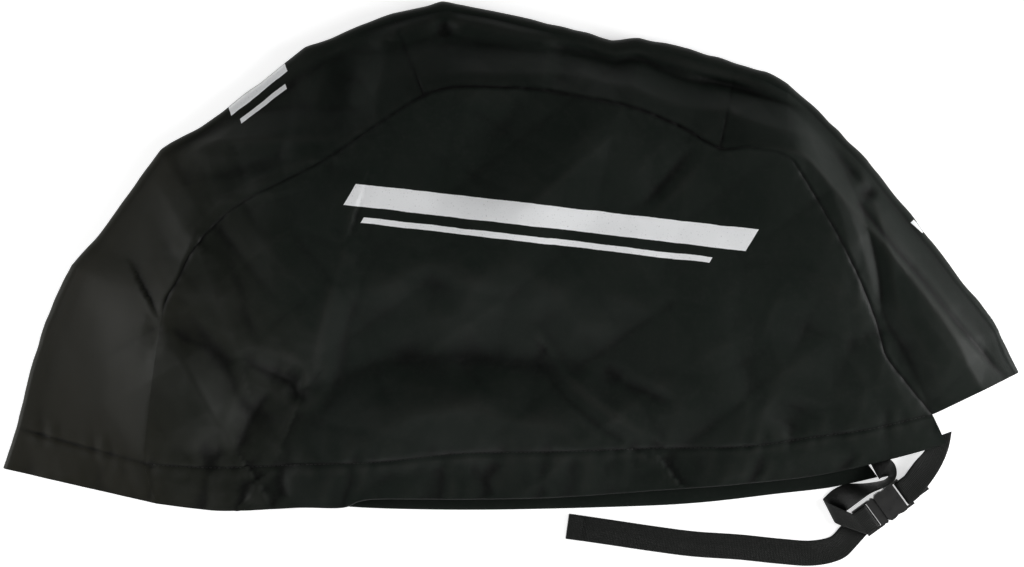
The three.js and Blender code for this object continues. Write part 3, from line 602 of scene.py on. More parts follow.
def turned_hem(grid, normals, folded_rows):
    """Adds the hem's layer turned up inside and the round turn at row 0 of a grid."""
    down = unit(grid[0] - grid[2])
    radius = HEM_TURN / 2
    middle = grid[0] - normals[0] * radius - down * radius
    turn = []
    turn_normals = []
    for k in range(1, TURN_STEPS):
        angle = math.pi / 2 - math.pi * k / TURN_STEPS
        way = down * math.cos(angle) + normals[0] * math.sin(angle)
        turn.append(middle + way * radius)
        turn_normals.append(way)
    outer = grid.copy()
    outer[0] -= down * radius
    inner = grid[folded_rows] - normals[folded_rows] * HEM_TURN
    inner[-1] -= down * radius
    rows = [inner, np.array(turn[::-1]), outer]
    ways = [-normals[folded_rows], np.array(turn_normals[::-1]), normals]
    return np.concatenate(rows), np.concatenate(ways)


def grid_faces(rows, columns, offset=0, flip=False):
    """Quads of a grid of points."""
    i, j = np.meshgrid(np.arange(rows - 1), np.arange(columns - 1), indexing="ij")
    a = (i * columns + j).ravel() + offset
    quads = np.column_stack([a, a + 1, a + columns + 1, a + columns])
    return quads[:, ::-1] if flip else quads


def mesh_piece(name, points, faces, material, attributes=None):
    """A piece from its points in millimetres and its faces."""
    mesh = bpy.data.meshes.new(name)
    metres = (np.asarray(points) * MM).tolist()
    mesh.from_pydata([tuple(p) for p in metres], [], [tuple(f) for f in faces])
    mesh.validate()
    for key, values in (attributes or {}).items():
        layer = mesh.attributes.new(key, "FLOAT", "POINT")
        layer.data.foreach_set("value", np.asarray(values, np.float32).ravel())
    mesh.shade_smooth()
    mesh.set_sharp_from_angle(angle=math.radians(SHARP))
    mesh.materials.append(material)
    piece = bpy.data.objects.new(name, mesh)
    bpy.context.scene.collection.objects.link(piece)
    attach(piece, "root")
    return piece


def cloth_piece(name, grid, normals, material, attributes=None):
    """A closed sheet of cloth on a grid of the middle of its thickness."""
    rows, columns = grid.shape[:2]
    outer = (grid + normals * CLOTH / 2).reshape(-1, 3)
    inner = (grid - normals * CLOTH / 2).reshape(-1, 3)
    count = rows * columns
    faces = [grid_faces(rows, columns), grid_faces(rows, columns, count, flip=True)]
    index = np.arange(count).reshape(rows, columns)
    rim = np.concatenate([index[0, :-1], index[:-1, -1], index[-1, :0:-1], index[:0:-1, 0]])
    after = np.roll(rim, -1)
    faces.append(np.column_stack([after, rim, rim + count, after + count]))
    doubled = {key: np.tile(np.ravel(v), 2) for key, v in (attributes or {}).items()}
    points = np.concatenate([outer, inner])
    points[:, 2] = np.maximum(points[:, 2], CLOTH_CLEAR)
    return mesh_piece(name, points, np.concatenate(faces), material, doubled)


# The cloth pieces

def gusset_grid(places):
    """The middle of the gusset's cloth, from the seam over the folded edge to the lower seam."""
    section = arch(places)
    width, roll, out = section["width"][:, None], section["roll"][:, None], section["out"]
    level = width - roll
    inner = roll - CLOTH / 2
    part = drawn_in(GUSSET_STEPS, GUSSET_WIDTH, both=False)[None, :]
    flat = section["seam"][:, None, :] + out[:, None, :] * (level * part)[:, :, None]
    bend = np.maximum(section["bend"], 0)[:, None]
    fall = np.clip((part - bend) / (1 - bend), 0, 1)
    fall = FLAT_FALL * fall + (1 - FLAT_FALL) * ramp(fall)
    high = section["lift"][:, None] + (roll + inner - section["lift"][:, None]) * fall
    fade = np.clip((width - level * part) / FOLD_FADE - 0.5, 0, 1)
    rise = over(flat, relief)
    upper = np.dstack([flat, high + rise * ramp(fade)])
    angle = np.pi / 2 - np.pi * np.arange(1, ROLL_STEPS + 1)[None, :] / ROLL_STEPS
    uneven = 1.2 * lattice(section["edge"][:, 0] / 17, section["edge"][:, 1] / 17, 21)[:, None]
    reach = level + inner * np.cos(angle) + uneven * np.cos(angle)
    plan = section["seam"][:, None, :] + out[:, None, :] * reach[:, :, None]
    rolled = np.dstack([plan, roll + inner * np.sin(angle)])
    start = section["seam"] + out * level
    end = section["seam"] + section["under"]
    back = np.linspace(0, 1, FLOOR_STEPS + 1)[None, 1:, None]
    plan = start[:, None, :] * (1 - back) + end[:, None, :] * back
    floor = np.dstack([plan, np.full(plan.shape[:2], CLOTH / 2)])
    return np.concatenate([upper, rolled, floor], axis=1)


def crest_of(grid, reach=3):
    """Tone painted at each point of a grid: up to 1, lighter, on crests, down to -1, painted shade, in
    creases and seams.
    """
    z = grid[..., 2]
    around = np.zeros_like(z)
    padded = np.pad(z, reach, mode="edge")
    rows, columns = z.shape
    for di, dj in ((0, -reach), (0, reach), (-reach, 0), (reach, 0)):
        around += padded[reach + di:reach + di + rows, reach + dj:reach + dj + columns] / 4
    # Lighter on crests, and painted shade in creases where the cloth lies below the cloth round it
    crest_and_crease_shade = np.clip((z - around) / CREST_RISE, -1, 1)
    # Painted shade along the seams, the hem's sewn line and the creases drawn as lines
    shade = over(grid, seam_shade)
    return crest_and_crease_shade * (1 - shade) - SHADE_GAIN * shade


def gusset_piece(name, places, material, hem=None):
    """A length of the gusset. hem says at which of its ends the cloth is turned up."""
    grid = gusset_grid(places)[:, ::-1]
    normals = normals_of(grid)
    crest = crest_of(grid)
    if hem == "last":
        grid, normals = grid[::-1], normals[::-1]
    if hem:
        steps = HEM_STEPS if hem == "first" else REAR_HEM_STEPS
        folded = np.linspace(0, steps, FOLDED_STEPS + 1).astype(int)[::-1]
        grid, normals = turned_hem(grid, normals, folded)
        # The hem's turned edge and inner layer get painted shade
        added = np.full((len(grid) - len(crest), crest.shape[1]), EDGE_SHADE)
        crest = np.concatenate([added, crest] if hem == "first" else [crest, added])
    if hem == "last":
        grid, normals = grid[::-1], normals[::-1]
    return cloth_piece(name, grid, normals, material, dict(crest=crest))


def spread(bottom, top, front, rear, u, v):
    """A smooth spread between four edges, all given from the same corners, at shares u and v."""
    u, v = u[None, :, None], v[:, None, None]
    ruled = bottom[None] * (1 - v) + top[None] * v + front[:, None] * (1 - u) + rear[:, None] * u
    corners = (bottom[0] * (1 - u) + bottom[-1] * u) * (1 - v) + (top[0] * (1 - u) + top[-1] * u) * v
    return ruled - corners


def upper_grid():
    """The middle of the upper side panel's cloth, from the hem's edge to the top seam."""
    u, v = TOP_SHARES, LEG_SHARES
    top = seam_points(TOP_PLACES)
    front = seam_points(LEG_PLACES)
    rear = seam_points(REAR_PLACES[::-1])
    bottom = edge_points(STITCH_LINE, u)
    bottom[0], bottom[-1] = front[0], rear[0]
    panel = spread(bottom, top, front, rear, u, v)
    panel[..., 2] += CROWN * np.sin(np.pi * u)[None, :] * np.sin(np.pi * v)[:, None]
    edge = edge_points(HEM_EDGE, u)
    part = np.linspace(0, 1, HEM_STEPS + 1)[:-1, None, None]
    hem = edge[None] * (1 - part) + bottom[None] * part
    hem += (seam_points(HEM_PLACES[:-1]) - hem[:, 0])[:, None] * (1 - u)[None, :, None]
    grid = np.concatenate([hem, panel])
    grid[..., 2] += over(grid, relief)
    return grid


def lower_seam(place):
    """Points of the lower seam on the floor."""
    section = arch(place)
    plan = section["seam"] + section["under"]
    return np.column_stack([plan, np.full(len(plan), CLOTH / 2)])


def lower_grid():
    """The middle of the lower side panel's cloth, flat on the floor."""
    rows, columns = LEG_STEPS // 3, TOP_STEPS // 2
    u, v = np.linspace(0, 1, columns + 1), np.linspace(0, 1, rows + 1)
    top = lower_seam(places_at(SHOULDER_ROW, REAR_TOP_ROW, u))
    front = lower_seam(places_at(STITCH_ROW, SHOULDER_ROW, v))
    rear = lower_seam(places_at(REAR_TOP_ROW, LAST_ROW, v)[::-1])
    edge = smooth(FAR_HEM, np.linspace(0, len(FAR_HEM) - 1, columns + 1))
    edge = np.column_stack([edge, np.full(columns + 1, CLOTH / 2)])
    stitch = edge + [0, HEM_DEPTH, 0]
    stitch += (front[0] - stitch[0]) * (1 - u)[:, None]**3 + (rear[0] - stitch[-1]) * u[:, None]**3
    panel = spread(stitch, top, front, rear, u, v)
    part = np.linspace(0, 1, HEM_STEPS + 1)[:-1]
    hem = edge[None] * (1 - part[:, None, None]) + stitch[None] * part[:, None, None]
    end = smooth(FAR_END, part * (len(FAR_END) - 1))
    hem[..., :2] += (end - hem[:, -1, :2])[:, None] * u[None, :, None]**6
    front_edge = lower_seam(HEM_PLACES[:-1])
    hem[..., :2] += (front_edge[:, :2] - hem[:, 0, :2])[:, None] * (1 - u)[None, :, None]**4
    return np.concatenate([hem, panel])[:, ::-1]


LEG_SHARES = drawn_in(LEG_STEPS, LEG_SEAM)
TOP_SHARES = drawn_in(TOP_STEPS, TOP_SEAM)
HEM_PLACES = np.linspace(0, STITCH_ROW, HEM_STEPS + 1)
LEG_PLACES = places_at(STITCH_ROW, SHOULDER_ROW, LEG_SHARES)
TOP_PLACES = places_at(SHOULDER_ROW, REAR_TOP_ROW, TOP_SHARES)
REAR_PLACES = places_at(REAR_TOP_ROW, LAST_ROW, LEG_SHARES)
ALL_PLACES = np.concatenate([HEM_PLACES[:-1], LEG_PLACES, TOP_PLACES[1:], REAR_PLACES[1:]])


def places_between(first, last):
    """The shared places of the grid between two rows of the arch, closer beside the cross seams."""
    near = np.array([0, *BESIDE_SEAM]) / ROW_SPACING
    low = first + (near if first else near[:1])
    high = last - (near if last < LAST_ROW else near[:1])[::-1]
    between = ALL_PLACES[(ALL_PLACES > low[-1] + 0.02) & (ALL_PLACES < high[0] - 0.02)]
    return np.concatenate([low, between, high])


# The webbing. at is its middle and lift its height, across is the way that its width runs on
# plan in degrees, and tilt is how far its width leans up from level.
ANCHOR_ROUTE = rows(
    "at lift across tilt",
    ((419, -149), 11.4, 20, 0),
    ((417.5, -157), 11.6, 17, 0),
    ((414.5, -165), 11.4, 6, -1),
    ((409, -175), 10.2, -14, -2),
    ((401, -187), 8.8, -38, -2),
    ((392, -199), 7.7, -52, 0),
)
ANCHOR_LEAD = 4.0
ANCHOR_SEWN = 22.0
PULL_ROUTE = rows(
    "at lift across tilt",
    ((353.2, -178.2), 1.4, -62, 0),
    ((360.5, -180), 3.9, -88, -12),
    ((367.5, -183), 8.8, -122, -38),
    ((372.3, -188), 12.9, -150, -76),
    ((369.3, -193), 12.7, -220, -82),
    ((362.5, -196.5), 12.6, -250, -80),
    ((347, -201), 12.1, -246, -68),
    ((333, -206), 8.6, -243, -38),
    ((321, -213.5), 3.4, -243, -10),
    ((313.5, -220.5), 1.4, -243, 0),
    ((311.4, -223), 3.6, -243, 0),
    ((315, -225.5), 6.4, -243, 4),
    ((323.5, -229), 8.8, -240, 10),
)
LADDER_LEAD = 12.0
TAIL_ROUTE = rows(
    "at lift across tilt",
    ((330, -249), 0.95, 132, 0),
    ((318, -260), 0.9, 120, 0),
    ((294, -265), 0.8, 90, 0),
    ((262, -263), 0.8, 85, 0),
    ((223, -259), 0.8, 86, 0),
    ((179, -256), 0.8, 85, 0),
    ((140, -251), 0.8, 82, 0),
    ((96, -244.5), 0.8, 82, 0),
    ((55.6, -238.6), 0.8, 82, 0),
)
TAIL_FOLD = 14.0            # the tail's end, folded back on itself and sewn
ROUTE_STEPS = 8
LEVEL_POINTS = 11           # across the webbing's flat face, and round its edge
EDGE_POINTS = 6
BAR_SIDES = 12
BUCKLE_AT = (361.9, -221.5)
BUCKLE_LIFT = 4.5
BUCKLE_TURN = 36.0
BAR_TURN = 3.2
SOCKET_BAR = 28.4
LADDER_BAR = -13.0


def loose_stations(rows):
    """Stations of loose webbing: points, and the way its width runs."""
    place = np.linspace(0, len(rows) - 1, ROUTE_STEPS * (len(rows) - 1) + 1)
    at, lift = smooth(column(rows, "at"), place), smooth(column(rows, "lift"), place)
    turn = np.radians(smooth(column(rows, "across"), place))
    tilt = np.radians(smooth(column(rows, "tilt"), place))
    across = np.column_stack([np.cos(turn) * np.cos(tilt), np.sin(turn) * np.cos(tilt), np.sin(tilt)])
    return np.column_stack([at, lift]), across


def bar_stations(bar, way, lead, tail):
    """Stations of webbing that turns round a bar of the buckle, from above it to below it."""
    angle = math.radians(BUCKLE_TURN)
    along = np.array([math.cos(angle), math.sin(angle), 0])
    across = way * np.array([-math.sin(angle), math.cos(angle), 0])
    turn = np.pi * np.arange(BAR_SIDES + 1) / BAR_SIDES
    x = np.concatenate([[bar - way * lead], bar + way * BAR_TURN * np.sin(turn), [bar - way * tail]])
    z = np.concatenate([[BAR_TURN], BAR_TURN * np.cos(turn), [-BAR_TURN]])
    middle = np.array([*BUCKLE_AT, BUCKLE_LIFT])
    points = middle + x[:, None] * along + z[:, None] * np.array([0, 0, 1])
    return points, np.tile(across, (len(x), 1))


def tail_fold(points, across):
    """The end of the tail, turned up and sewn back on itself."""
    way = unit(points[-1] - points[-2])
    radius = WEBBING_THICK / 2 + 0.15
    up = np.array([0, 0, 1.0])
    turn = [points[-1] + way * radius * math.sin(a) + up * radius * (1 - math.cos(a))
            for a in np.linspace(0, math.pi, 9)[1:]]
    back = [turn[-1] - way * TAIL_FOLD * part for part in (0.3, 0.6, 1.0)]
    extra = np.array(turn + back)
    turned = np.tile(across[-1], (len(extra), 1))
    return np.concatenate([points, extra]), np.concatenate([across, turned])


def webbing_piece(name, points, across, material):
    """Flat webbing with rounded edges through its stations."""
    ways = unit(np.gradient(points, axis=0))
    out = unit(np.cross(ways, across))
    half, thick = WEBBING / 2, WEBBING_THICK / 2
    level = np.linspace(-(half - thick), half - thick, LEVEL_POINTS)
    bend = np.linspace(-np.pi / 2, np.pi / 2, EDGE_POINTS)[1:-1]
    side = np.concatenate([level, half - thick + thick * np.cos(-bend), level[::-1],
                           -(half - thick) - thick * np.cos(-bend)])
    high = np.concatenate([np.full(LEVEL_POINTS, thick), thick * np.sin(-bend),
                           np.full(LEVEL_POINTS, -thick), thick * np.sin(bend)])
    loop = len(side)
    body = points[:, None] + across[:, None] * side[None, :, None] + out[:, None] * high[None, :, None]
    count = len(points)
    i, j = np.meshgrid(np.arange(count - 1), np.arange(loop), indexing="ij")
    a, b = (i * loop + j).ravel(), (i * loop + (j + 1) % loop).ravel()
    faces = np.column_stack([a, b, b + loop, a + loop]).tolist()
    faces += [list(range(loop))[::-1], list(range((count - 1) * loop, count * loop))]
    run = np.repeat(run_along(points), loop)
    body[..., 2] = np.maximum(body[..., 2], WEBBING_CLEAR)
    return mesh_piece(name, body.reshape(-1, 3), faces, material,
                      dict(run=run, across=np.tile(side, count)))


def stitch_piece(name, line, material, pitch=STITCH_PITCH):
    """A row of stitches: short soft bars of thread along a line of points in millimetres."""
    run = run_along(line)
    centres = np.arange(pitch, run[-1] - pitch, pitch)
    at = np.stack([np.interp(centres, run, line[:, k]) for k in range(3)], axis=1)
    ahead = np.stack([np.interp(centres + 0.5, run, line[:, k]) for k in range(3)], axis=1)
    way = unit(ahead - at)
    side = unit(np.cross(way, [0, 0, 1.0]))
    up = np.cross(side, way)
    place = np.array([-1, -0.8, 0, 0.8, 1])
    full = np.array([0.25, 0.9, 1, 0.9, 0.25])
    sink = np.array([-0.7, 0.1, 0.35, 0.1, -0.7])
    turn = np.arange(6) * np.pi / 3
    ring = (np.cos(turn)[None, :, None] * side[:, None, None, :]
            + np.sin(turn)[None, :, None] * up[:, None, None, :])
    middle = (at[:, None] + way[:, None] * (place * STITCH_LENGTH / 2)[None, :, None]
              + up[:, None] * (sink * THREAD)[None, :, None])
    points = middle[:, :, None] + ring * (full * THREAD / 2)[None, :, None, None]
    one = []
    for k in range(4):
        for j in range(6):
            a, b = 6 * k + j, 6 * k + (j + 1) % 6
            one.append([a, b, b + 6, a + 6])
    one += [[5, 4, 3, 2, 1, 0], [24, 25, 26, 27, 28, 29]]
    faces = [[v + 30 * n for v in face] for n in range(len(at)) for face in one]
    return mesh_piece(name, points.reshape(-1, 3), faces, material)


# Materials

def maths(operation, swapped=False):
    """A sum of a wire and another value, as one of the wire's own ways to be used."""
    def work(self, other):
        return self.do(operation, *((other, self) if swapped else (self, other)))
    return work


class Wire:
    """A value in a material, so that its sums are written as ordinary sums."""

    def __init__(self, shader, socket):
        self.shader, self.socket = shader, socket

    def do(self, operation, *values):
        return self.shader.add("ShaderNodeMath", {"operation": operation}, *values)

    __add__ = __radd__ = maths("ADD")
    __sub__ = maths("SUBTRACT")
    __rsub__ = maths("SUBTRACT", swapped=True)
    __mul__ = __rmul__ = maths("MULTIPLY")
    __truediv__ = maths("DIVIDE")
    least = maths("MINIMUM")
    most = maths("MAXIMUM")

    def __abs__(self):
        return self.do("ABSOLUTE", self)

    def sine(self):
        return self.do("SINE", self)

    def clamped(self):
        return self.least(1.0).most(0.0)


class Shader:
    """A material and the few ways that this script adds to it."""

    def __init__(self, name, **surface):
        self.material = bpy.data.materials.new(name)
        self.material.use_nodes = True
        self.tree = self.material.node_tree
        self.surface = self.tree.nodes["Principled BSDF"]
        for key, value in surface.items():
            self.plug(self.surface.inputs[key.replace("_", " ")], value)

    def plug(self, socket, value):
        if isinstance(value, Wire):
            self.tree.links.new(value.socket, socket)
        else:
            socket.default_value = value

    def add(self, kind, settings, *values, output=0, **named):
        node = self.tree.nodes.new(kind)
        for key, value in settings.items():
            setattr(node, key, value)
        for socket, value in zip(node.inputs, values):
            self.plug(socket, value)
        for key, value in named.items():
            self.plug(node.inputs[key], value)
        return Wire(self, node.outputs[output])

    def place(self):
        """The place in the object's frame, whole and by its three parts."""
        whole = self.add("ShaderNodeTexCoord", {}, output="Object")
        split = self.tree.nodes.new("ShaderNodeSeparateXYZ")
        self.plug(split.inputs[0], whole)
        return whole, [Wire(self, socket) for socket in split.outputs]

    def noise(self, vector, size, detail=2.0, roughness=0.5):
        """Smooth noise from 0 to 1 with forms of a size in metres."""
        return self.add("ShaderNodeTexNoise", {}, Vector=vector, Scale=1 / size, Detail=detail,
                        Roughness=roughness)

    def attribute(self, name):
        return self.add("ShaderNodeAttribute", {"attribute_name": name}, output="Fac")

    def between(self, value, low, high):
        """A smooth step from 0 at low to 1 at high."""
        return self.add("ShaderNodeMapRange", {"interpolation_type": "SMOOTHSTEP"}, value, low, high)

    def colour(self, factor, first, second):
        """One colour fading to another."""
        node = self.tree.nodes.new("ShaderNodeMix")
        node.data_type = "RGBA"
        for index, value in ((0, factor), (6, first), (7, second)):
            if isinstance(value, tuple):
                value = (*value, 1.0)
            self.plug(node.inputs[index], value)
        return Wire(self, node.outputs[2])

    def bump(self, height, distance, strength=1.0, under=None):
        named = dict(Height=height, Distance=distance, Strength=strength)
        if under is not None:
            named["Normal"] = under
        return self.add("ShaderNodeBump", {}, **named)

    def finish(self, **surface):
        for key, value in surface.items():
            self.plug(self.surface.inputs[key.replace("_", " ")], value)
        return self.material


# The printed marks. middle is on plan in millimetres, turn in degrees, and slant how far the ends
# lean along the mark for each millimetre across it.
MARKS = rows(
    "middle size turn slant",
    ((38, 64), (392, 22), -6.5, 0.45),
    ((24, 42), (340, 6), -6.5, 0.45),
    ((-250, 193), (70, 15), 38, 0.3),
    ((-243, 176), (56, 5), 38, 0.3),
    ((398, 56), (16, 5), -40, 0.2),
)
PRINT_SOFT = 0.35

# Base colours of the cloth: at the front, painted lighter and warmer as painted light, and elsewhere,
# in blotches, on crests, as painted shade in creases and seams, in its specks, and of the print
CLOTH_FRONT_PAINTED_LIGHT = (0.0140, 0.0134, 0.0088)
CLOTH_ELSEWHERE = (0.0050, 0.0085, 0.0062)
CLOTH_BLOTCH = (0.0120, 0.0137, 0.0113)
CLOTH_ON_CRESTS = (0.0200, 0.0212, 0.0184)
CLOTH_PAINTED_SHADE = (0.0010, 0.0012, 0.0010)
CLOTH_SPECK = (0.024, 0.024, 0.0215)
PRINT = (0.88, 0.89, 0.90)
WEAVE = 0.00085             # pitch of the weave


def printed(shader, x, y, waver):
    """How much of a place the printed marks cover, from 0 to 1."""
    whole = None
    for mark in MARKS:
        turn = math.radians(mark["turn"])
        dx = x / MM - mark["middle"][0]
        dy = y / MM - mark["middle"][1]
        along = dx * math.cos(turn) + dy * math.sin(turn) + waver * 0.8
        across = dy * math.cos(turn) - dx * math.sin(turn) + waver
        inside = (mark["size"][1] / 2 - abs(across)) / PRINT_SOFT
        ends = (mark["size"][0] / 2 - abs(along - across * mark["slant"])) / PRINT_SOFT
        cover = inside.least(ends).clamped()
        whole = cover if whole is None else whole.most(cover)
    return whole


def cloth_material(name, marks):
    """Black coated cloth with a fine weave, lighter crests, painted shade in creases and seams, a front
    painted lighter and, where it has them, its marks.
    """
    shader = Shader(name, Sheen_Weight=0.012, Sheen_Roughness=0.4, Specular_IOR_Level=0.16)
    vector, (x, y, z) = shader.place()
    cloud = shader.noise(vector, 0.16, 3.0)
    blotch = shader.noise(vector, 0.05, 3.0)
    fine = shader.noise(vector, 0.004, 3.0)
    crest = shader.attribute("crest")
    # Painted light: towards the front, at -x, the cloth is painted lighter and warmer, as where the
    # side light falls on it
    lean = shader.between(x + (cloud - 0.5) * 0.2, -0.42, -0.18)
    tone = shader.colour(lean, CLOTH_FRONT_PAINTED_LIGHT, CLOTH_ELSEWHERE)
    tone = shader.colour(shader.between(blotch, 0.3, 0.8) * 0.2, tone, CLOTH_BLOTCH)
    # Lighter on crests; painted shade in creases, along seams and on the hem's turned edge, from the
    # crest attribute
    tone = shader.colour((crest * 0.45).clamped(), tone, CLOTH_ON_CRESTS)
    tone = shader.colour((crest * -0.8).clamped(), tone, CLOTH_PAINTED_SHADE)
    grain = (x * (2 * math.pi / WEAVE)).sine() * (y * (2 * math.pi / WEAVE)).sine()
    weave = grain * 0.5 + fine
    tone = shader.colour((fine - 0.5).most(0.0) * 0.5, tone, CLOTH_SPECK)
    rough = 0.50 + (blotch - 0.5) * 0.08 + (fine - 0.5) * 0.10
    if marks:
        waver = (shader.noise(vector, 0.03, 1.0) - 0.5) * 2.2 + (fine - 0.5) * 0.5
        cover = printed(shader, x, y, waver) * shader.between(z, 0.008, 0.012)
        worn = cover * (1 - shader.between(shader.noise(vector, 0.0016, 2.0), 0.62, 0.75) * 0.25)
        tone = shader.colour(worn, tone, PRINT)
        rough = rough * (1 - cover) + cover * 0.42
    crumple = shader.noise(vector, 0.011, 3.0, 0.55)
    base = shader.bump(crumple, 0.0005, 0.25)
    return shader.finish(Base_Color=tone, Roughness=rough,
                         Normal=shader.bump(weave, 0.00010, 0.6, base))


def webbing_material():
    """Black woven webbing: ribs across it, two cords along each edge and a worn shine."""
    shader = Shader("webbing", Sheen_Weight=0.02, Sheen_Roughness=0.4, Specular_IOR_Level=0.28)
    vector, place = shader.place()
    run, across = shader.attribute("run"), shader.attribute("across")
    ribs = (run * (2 * math.pi / 1.5)).sine() * 0.5 + 0.5
    chevron = ((run + abs(across) * 1.4) * (2 * math.pi / 2.2)).sine() * 0.5 + 0.5
    rows = (across * (2 * math.pi / 2.1)).sine() * 0.5 + 0.5
    selvage = shader.between(abs(across), 10.6, 11.4)
    height = ribs * 0.5 + chevron * 0.35 + rows * 0.35 - selvage * ribs * 0.3
    fine = shader.noise(vector, 0.003, 3.0)
    tone = shader.colour(height * 0.7, (0.0038, 0.0045, 0.0041), (0.0125, 0.0134, 0.0118))
    tone = shader.colour(shader.between(fine, 0.55, 0.8) * 0.4, tone, (0.0200, 0.0200, 0.0180))
    return shader.finish(Base_Color=tone, Roughness=0.46 + (fine - 0.5) * 0.25,
                         Normal=shader.bump(height, 0.00030, 0.8))


def plastic_material():
    """Black moulded nylon with a fine spark-eroded grain and polished wear."""
    shader = Shader("buckle_plastic", Specular_IOR_Level=0.5)
    vector, (x, y, z) = shader.place()
    grain = shader.noise(vector, 0.0006, 2.0)
    cloud = shader.noise(vector, 0.009, 3.0)
    tone = shader.colour(cloud, (0.020, 0.020, 0.020), (0.040, 0.040, 0.039))
    rough = 0.22 + cloud * 0.16 + (grain - 0.5) * 0.08
    return shader.finish(Base_Color=tone, Roughness=rough, Normal=shader.bump(grain, 0.00004, 0.7))


def thread_material():
    """Black thread with a faint twist."""
    shader = Shader("thread", Sheen_Weight=0.02, Specular_IOR_Level=0.35)
    vector, (x, y, z) = shader.place()
    twist = ((x + y * 0.8 + z) * (2 * math.pi / 0.0006)).sine()
    fine = shader.noise(vector, 0.002, 2.0)
    tone = shader.colour(fine, (0.0036, 0.0041, 0.0036), (0.0120, 0.0125, 0.0110))
    return shader.finish(Base_Color=tone, Roughness=0.45 + (fine - 0.5) * 0.2,
                         Normal=shader.bump(twist, 0.00006, 0.5))


def floor_material():
    """A plain pale floor. It gives off some light, so that it reads as pure white."""
    shader = Shader("floor", Specular_IOR_Level=0.2, Emission_Color=(1, 1, 1, 1),
                    Emission_Strength=FLOOR_GLOW)
    vector, place = shader.place()
    soft = shader.noise(vector, 0.4, 2.0)
    tone = shader.colour(soft, (0.90, 0.90, 0.90), (0.93, 0.93, 0.93))
    return shader.finish(Base_Color=tone, Roughness=0.75 + (soft - 0.5) * 0.1)


def buckle_piece(name, node, material):
    """A part of the buckle with its moulded edges rounded, in place of its plain solid."""
    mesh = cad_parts[node].data.copy()
    mesh.name = name
    mesh.materials.clear()
    mesh.materials.append(material)
    shape = bmesh.new()
    shape.from_mesh(mesh)
    bmesh.ops.remove_doubles(shape, verts=shape.verts, dist=0.00002)
    bmesh.ops.dissolve_limit(shape, angle_limit=math.radians(3), verts=shape.verts, edges=shape.edges)
    sharp = [e for e in shape.edges if e.is_manifold and e.calc_face_angle(0) > math.radians(35)]
    bmesh.ops.bevel(shape, geom=sharp, offset=0.00055, segments=3, profile=0.6, affect="EDGES",
                    clamp_overlap=True)
    shape.to_mesh(mesh)
    shape.free()
    piece = bpy.data.objects.new(name, mesh)
    bpy.context.scene.collection.objects.link(piece)
    for face in mesh.polygons:
        face.use_smooth = False
    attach(piece, "root")
    return piece


def light(name, at, size, power, colour=(1, 1, 1), aim=(0, 0, 0)):
    """A soft square light turned to a point."""
    data = bpy.data.lights.new(name, "AREA")
    data.size = size
    data.energy = power
    data.color = colour
    lamp = bpy.data.objects.new(name, data)
    lamp.location = at
    way = Vector(aim) - Vector(at)
    lamp.rotation_euler = way.to_track_quat("-Z", "Y").to_euler()
    bpy.context.scene.collection.objects.link(lamp)


def camera():
    """The camera, straight above the middle of the cover."""
    data = bpy.data.cameras.new("camera")
    data.sensor_width = SENSOR
    data.lens = (CAMERA_HEIGHT - EDGE_HEIGHT) * SENSOR / PICTURE_WIDTH
    data.clip_end = 50
    eye = bpy.data.objects.new("camera", data)
    eye.location = (0, 0, CAMERA_HEIGHT)
    bpy.context.scene.collection.objects.link(eye)
    bpy.context.scene.camera = eye


camera()
cloth = cloth_material("coated_cloth", True)
plain_cloth = cloth_material("coated_cloth_inside", False)
webbing = webbing_material()
plastic = plastic_material()
thread = thread_material()


def upper_panel():
    grid = upper_grid()
    normals = normals_of(grid)
    crest = crest_of(grid)
    folded = np.linspace(HEM_STEPS, 0, FOLDED_STEPS + 1).astype(int)
    grid, normals = turned_hem(grid, normals, folded)
    # The hem's turned edge and inner layer get painted shade
    crest = np.concatenate([np.full((len(grid) - len(crest), crest.shape[1]), EDGE_SHADE), crest])
    return cloth_piece("side_cloth_upper", grid, normals, cloth, dict(crest=crest))


def lower_panel():
    grid = lower_grid()
    normals = np.tile([0.0, 0, -1], (*grid.shape[:2], 1))
    folded = np.linspace(HEM_STEPS, 0, FOLDED_STEPS + 1).astype(int)
    grid, normals = turned_hem(grid, normals, folded)
    return cloth_piece("side_cloth_lower", grid, normals, plain_cloth)


upper = upper_panel()
lower = lower_panel()
front = gusset_piece("front_cloth", places_between(0, FRONT_JOIN_ROW), cloth, hem="first")
top = gusset_piece("top_cloth", places_between(FRONT_JOIN_ROW, REAR_JOIN_ROW), cloth)
rear = gusset_piece("rear_cloth", places_between(REAR_JOIN_ROW, LAST_ROW), cloth, hem="last")

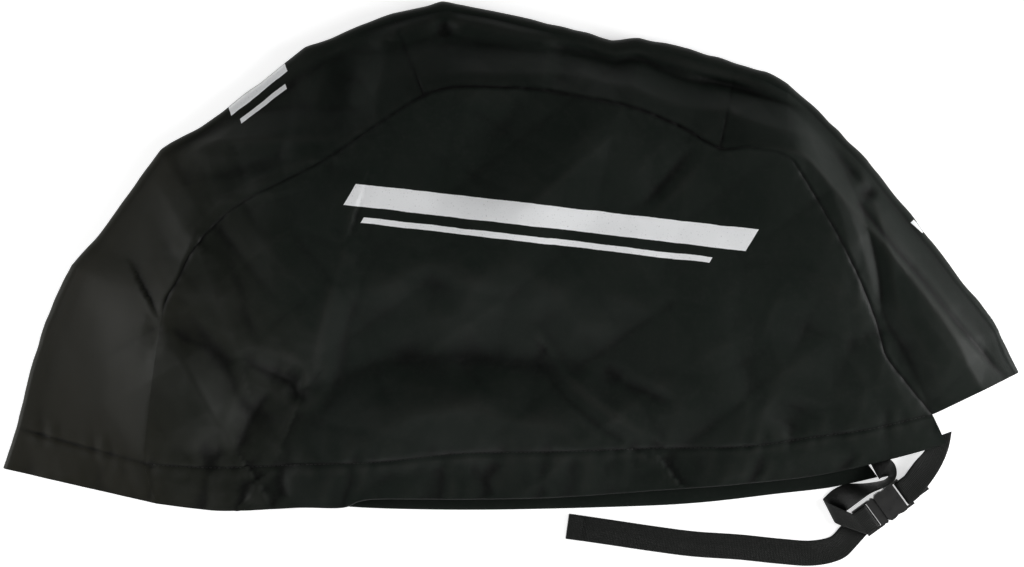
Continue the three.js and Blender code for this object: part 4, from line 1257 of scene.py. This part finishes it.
anchor_points, anchor_across = loose_stations(ANCHOR_ROUTE)
points, across = bar_stations(SOCKET_BAR, -1, ANCHOR_LEAD, ANCHOR_SEWN)
anchor = webbing_piece("anchor_webbing", np.concatenate([anchor_points, points]),
                       np.concatenate([anchor_across, across]), webbing)
pull_points, pull_across = loose_stations(PULL_ROUTE)
points, across = bar_stations(LADDER_BAR, 1, LADDER_LEAD, LADDER_LEAD)
tail_points, tail_across = tail_fold(*loose_stations(TAIL_ROUTE))
pull = webbing_piece("pull_webbing", np.concatenate([pull_points, points, tail_points]),
                     np.concatenate([pull_across, across, tail_across]), webbing)
socket = buckle_piece("buckle_socket_moulded", "buckle_socket", plastic)
plug = buckle_piece("buckle_plug_moulded", "buckle_plug", plastic)

hem_line = edge_points(STITCH_LINE, np.linspace(0.004, 0.996, 500))
hem_line[:, 2] += relief(hem_line[:, 0], hem_line[:, 1]) + CLOTH / 2
hem_stitches = stitch_piece("hem_stitches", hem_line, thread)

floor_mesh = bpy.data.meshes.new("floor")
corners = [(x * FLOOR_HALF, y * FLOOR_HALF, 0) for x, y in ((-1, -1), (1, -1), (1, 1), (-1, 1))]
floor_mesh.from_pydata(corners, [], [(0, 1, 2, 3)])
floor_mesh.materials.append(floor_material())
floor = bpy.data.objects.new("floor", floor_mesh)
bpy.context.scene.collection.objects.link(floor)

PIECES = [
    (upper, "side_panel_upper", "coated_cloth"),
    (lower, "side_panel_lower", "coated_cloth"),
    (front, "front_panel", "coated_cloth"),
    (top, "top_panel", "coated_cloth"),
    (rear, "rear_panel", "coated_cloth"),
    (anchor, "anchor_strap", "webbing"),
    (pull, "pull_strap", "webbing"),
    (socket, "buckle_socket", "buckle_plastic"),
    (plug, "buckle_plug", "buckle_plastic"),
]
for piece, node, slot in PIECES:
    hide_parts(node)

light("left", (-1.9, -0.2, 0.62), 0.9, 24)
light("right", (1.9, -0.1, 0.60), 0.9, 39)
light("near", (0.2, -2.0, 0.72), 1.2, 17)
bpy.context.scene.view_settings.view_transform = "Standard"
world = bpy.data.worlds.new("world")
bpy.context.scene.world = world
world.use_nodes = True
background = world.node_tree.nodes["Background"]
background.inputs[0].default_value = (1, 1, 1, 1)
background.inputs[1].default_value = WORLD_LIGHT
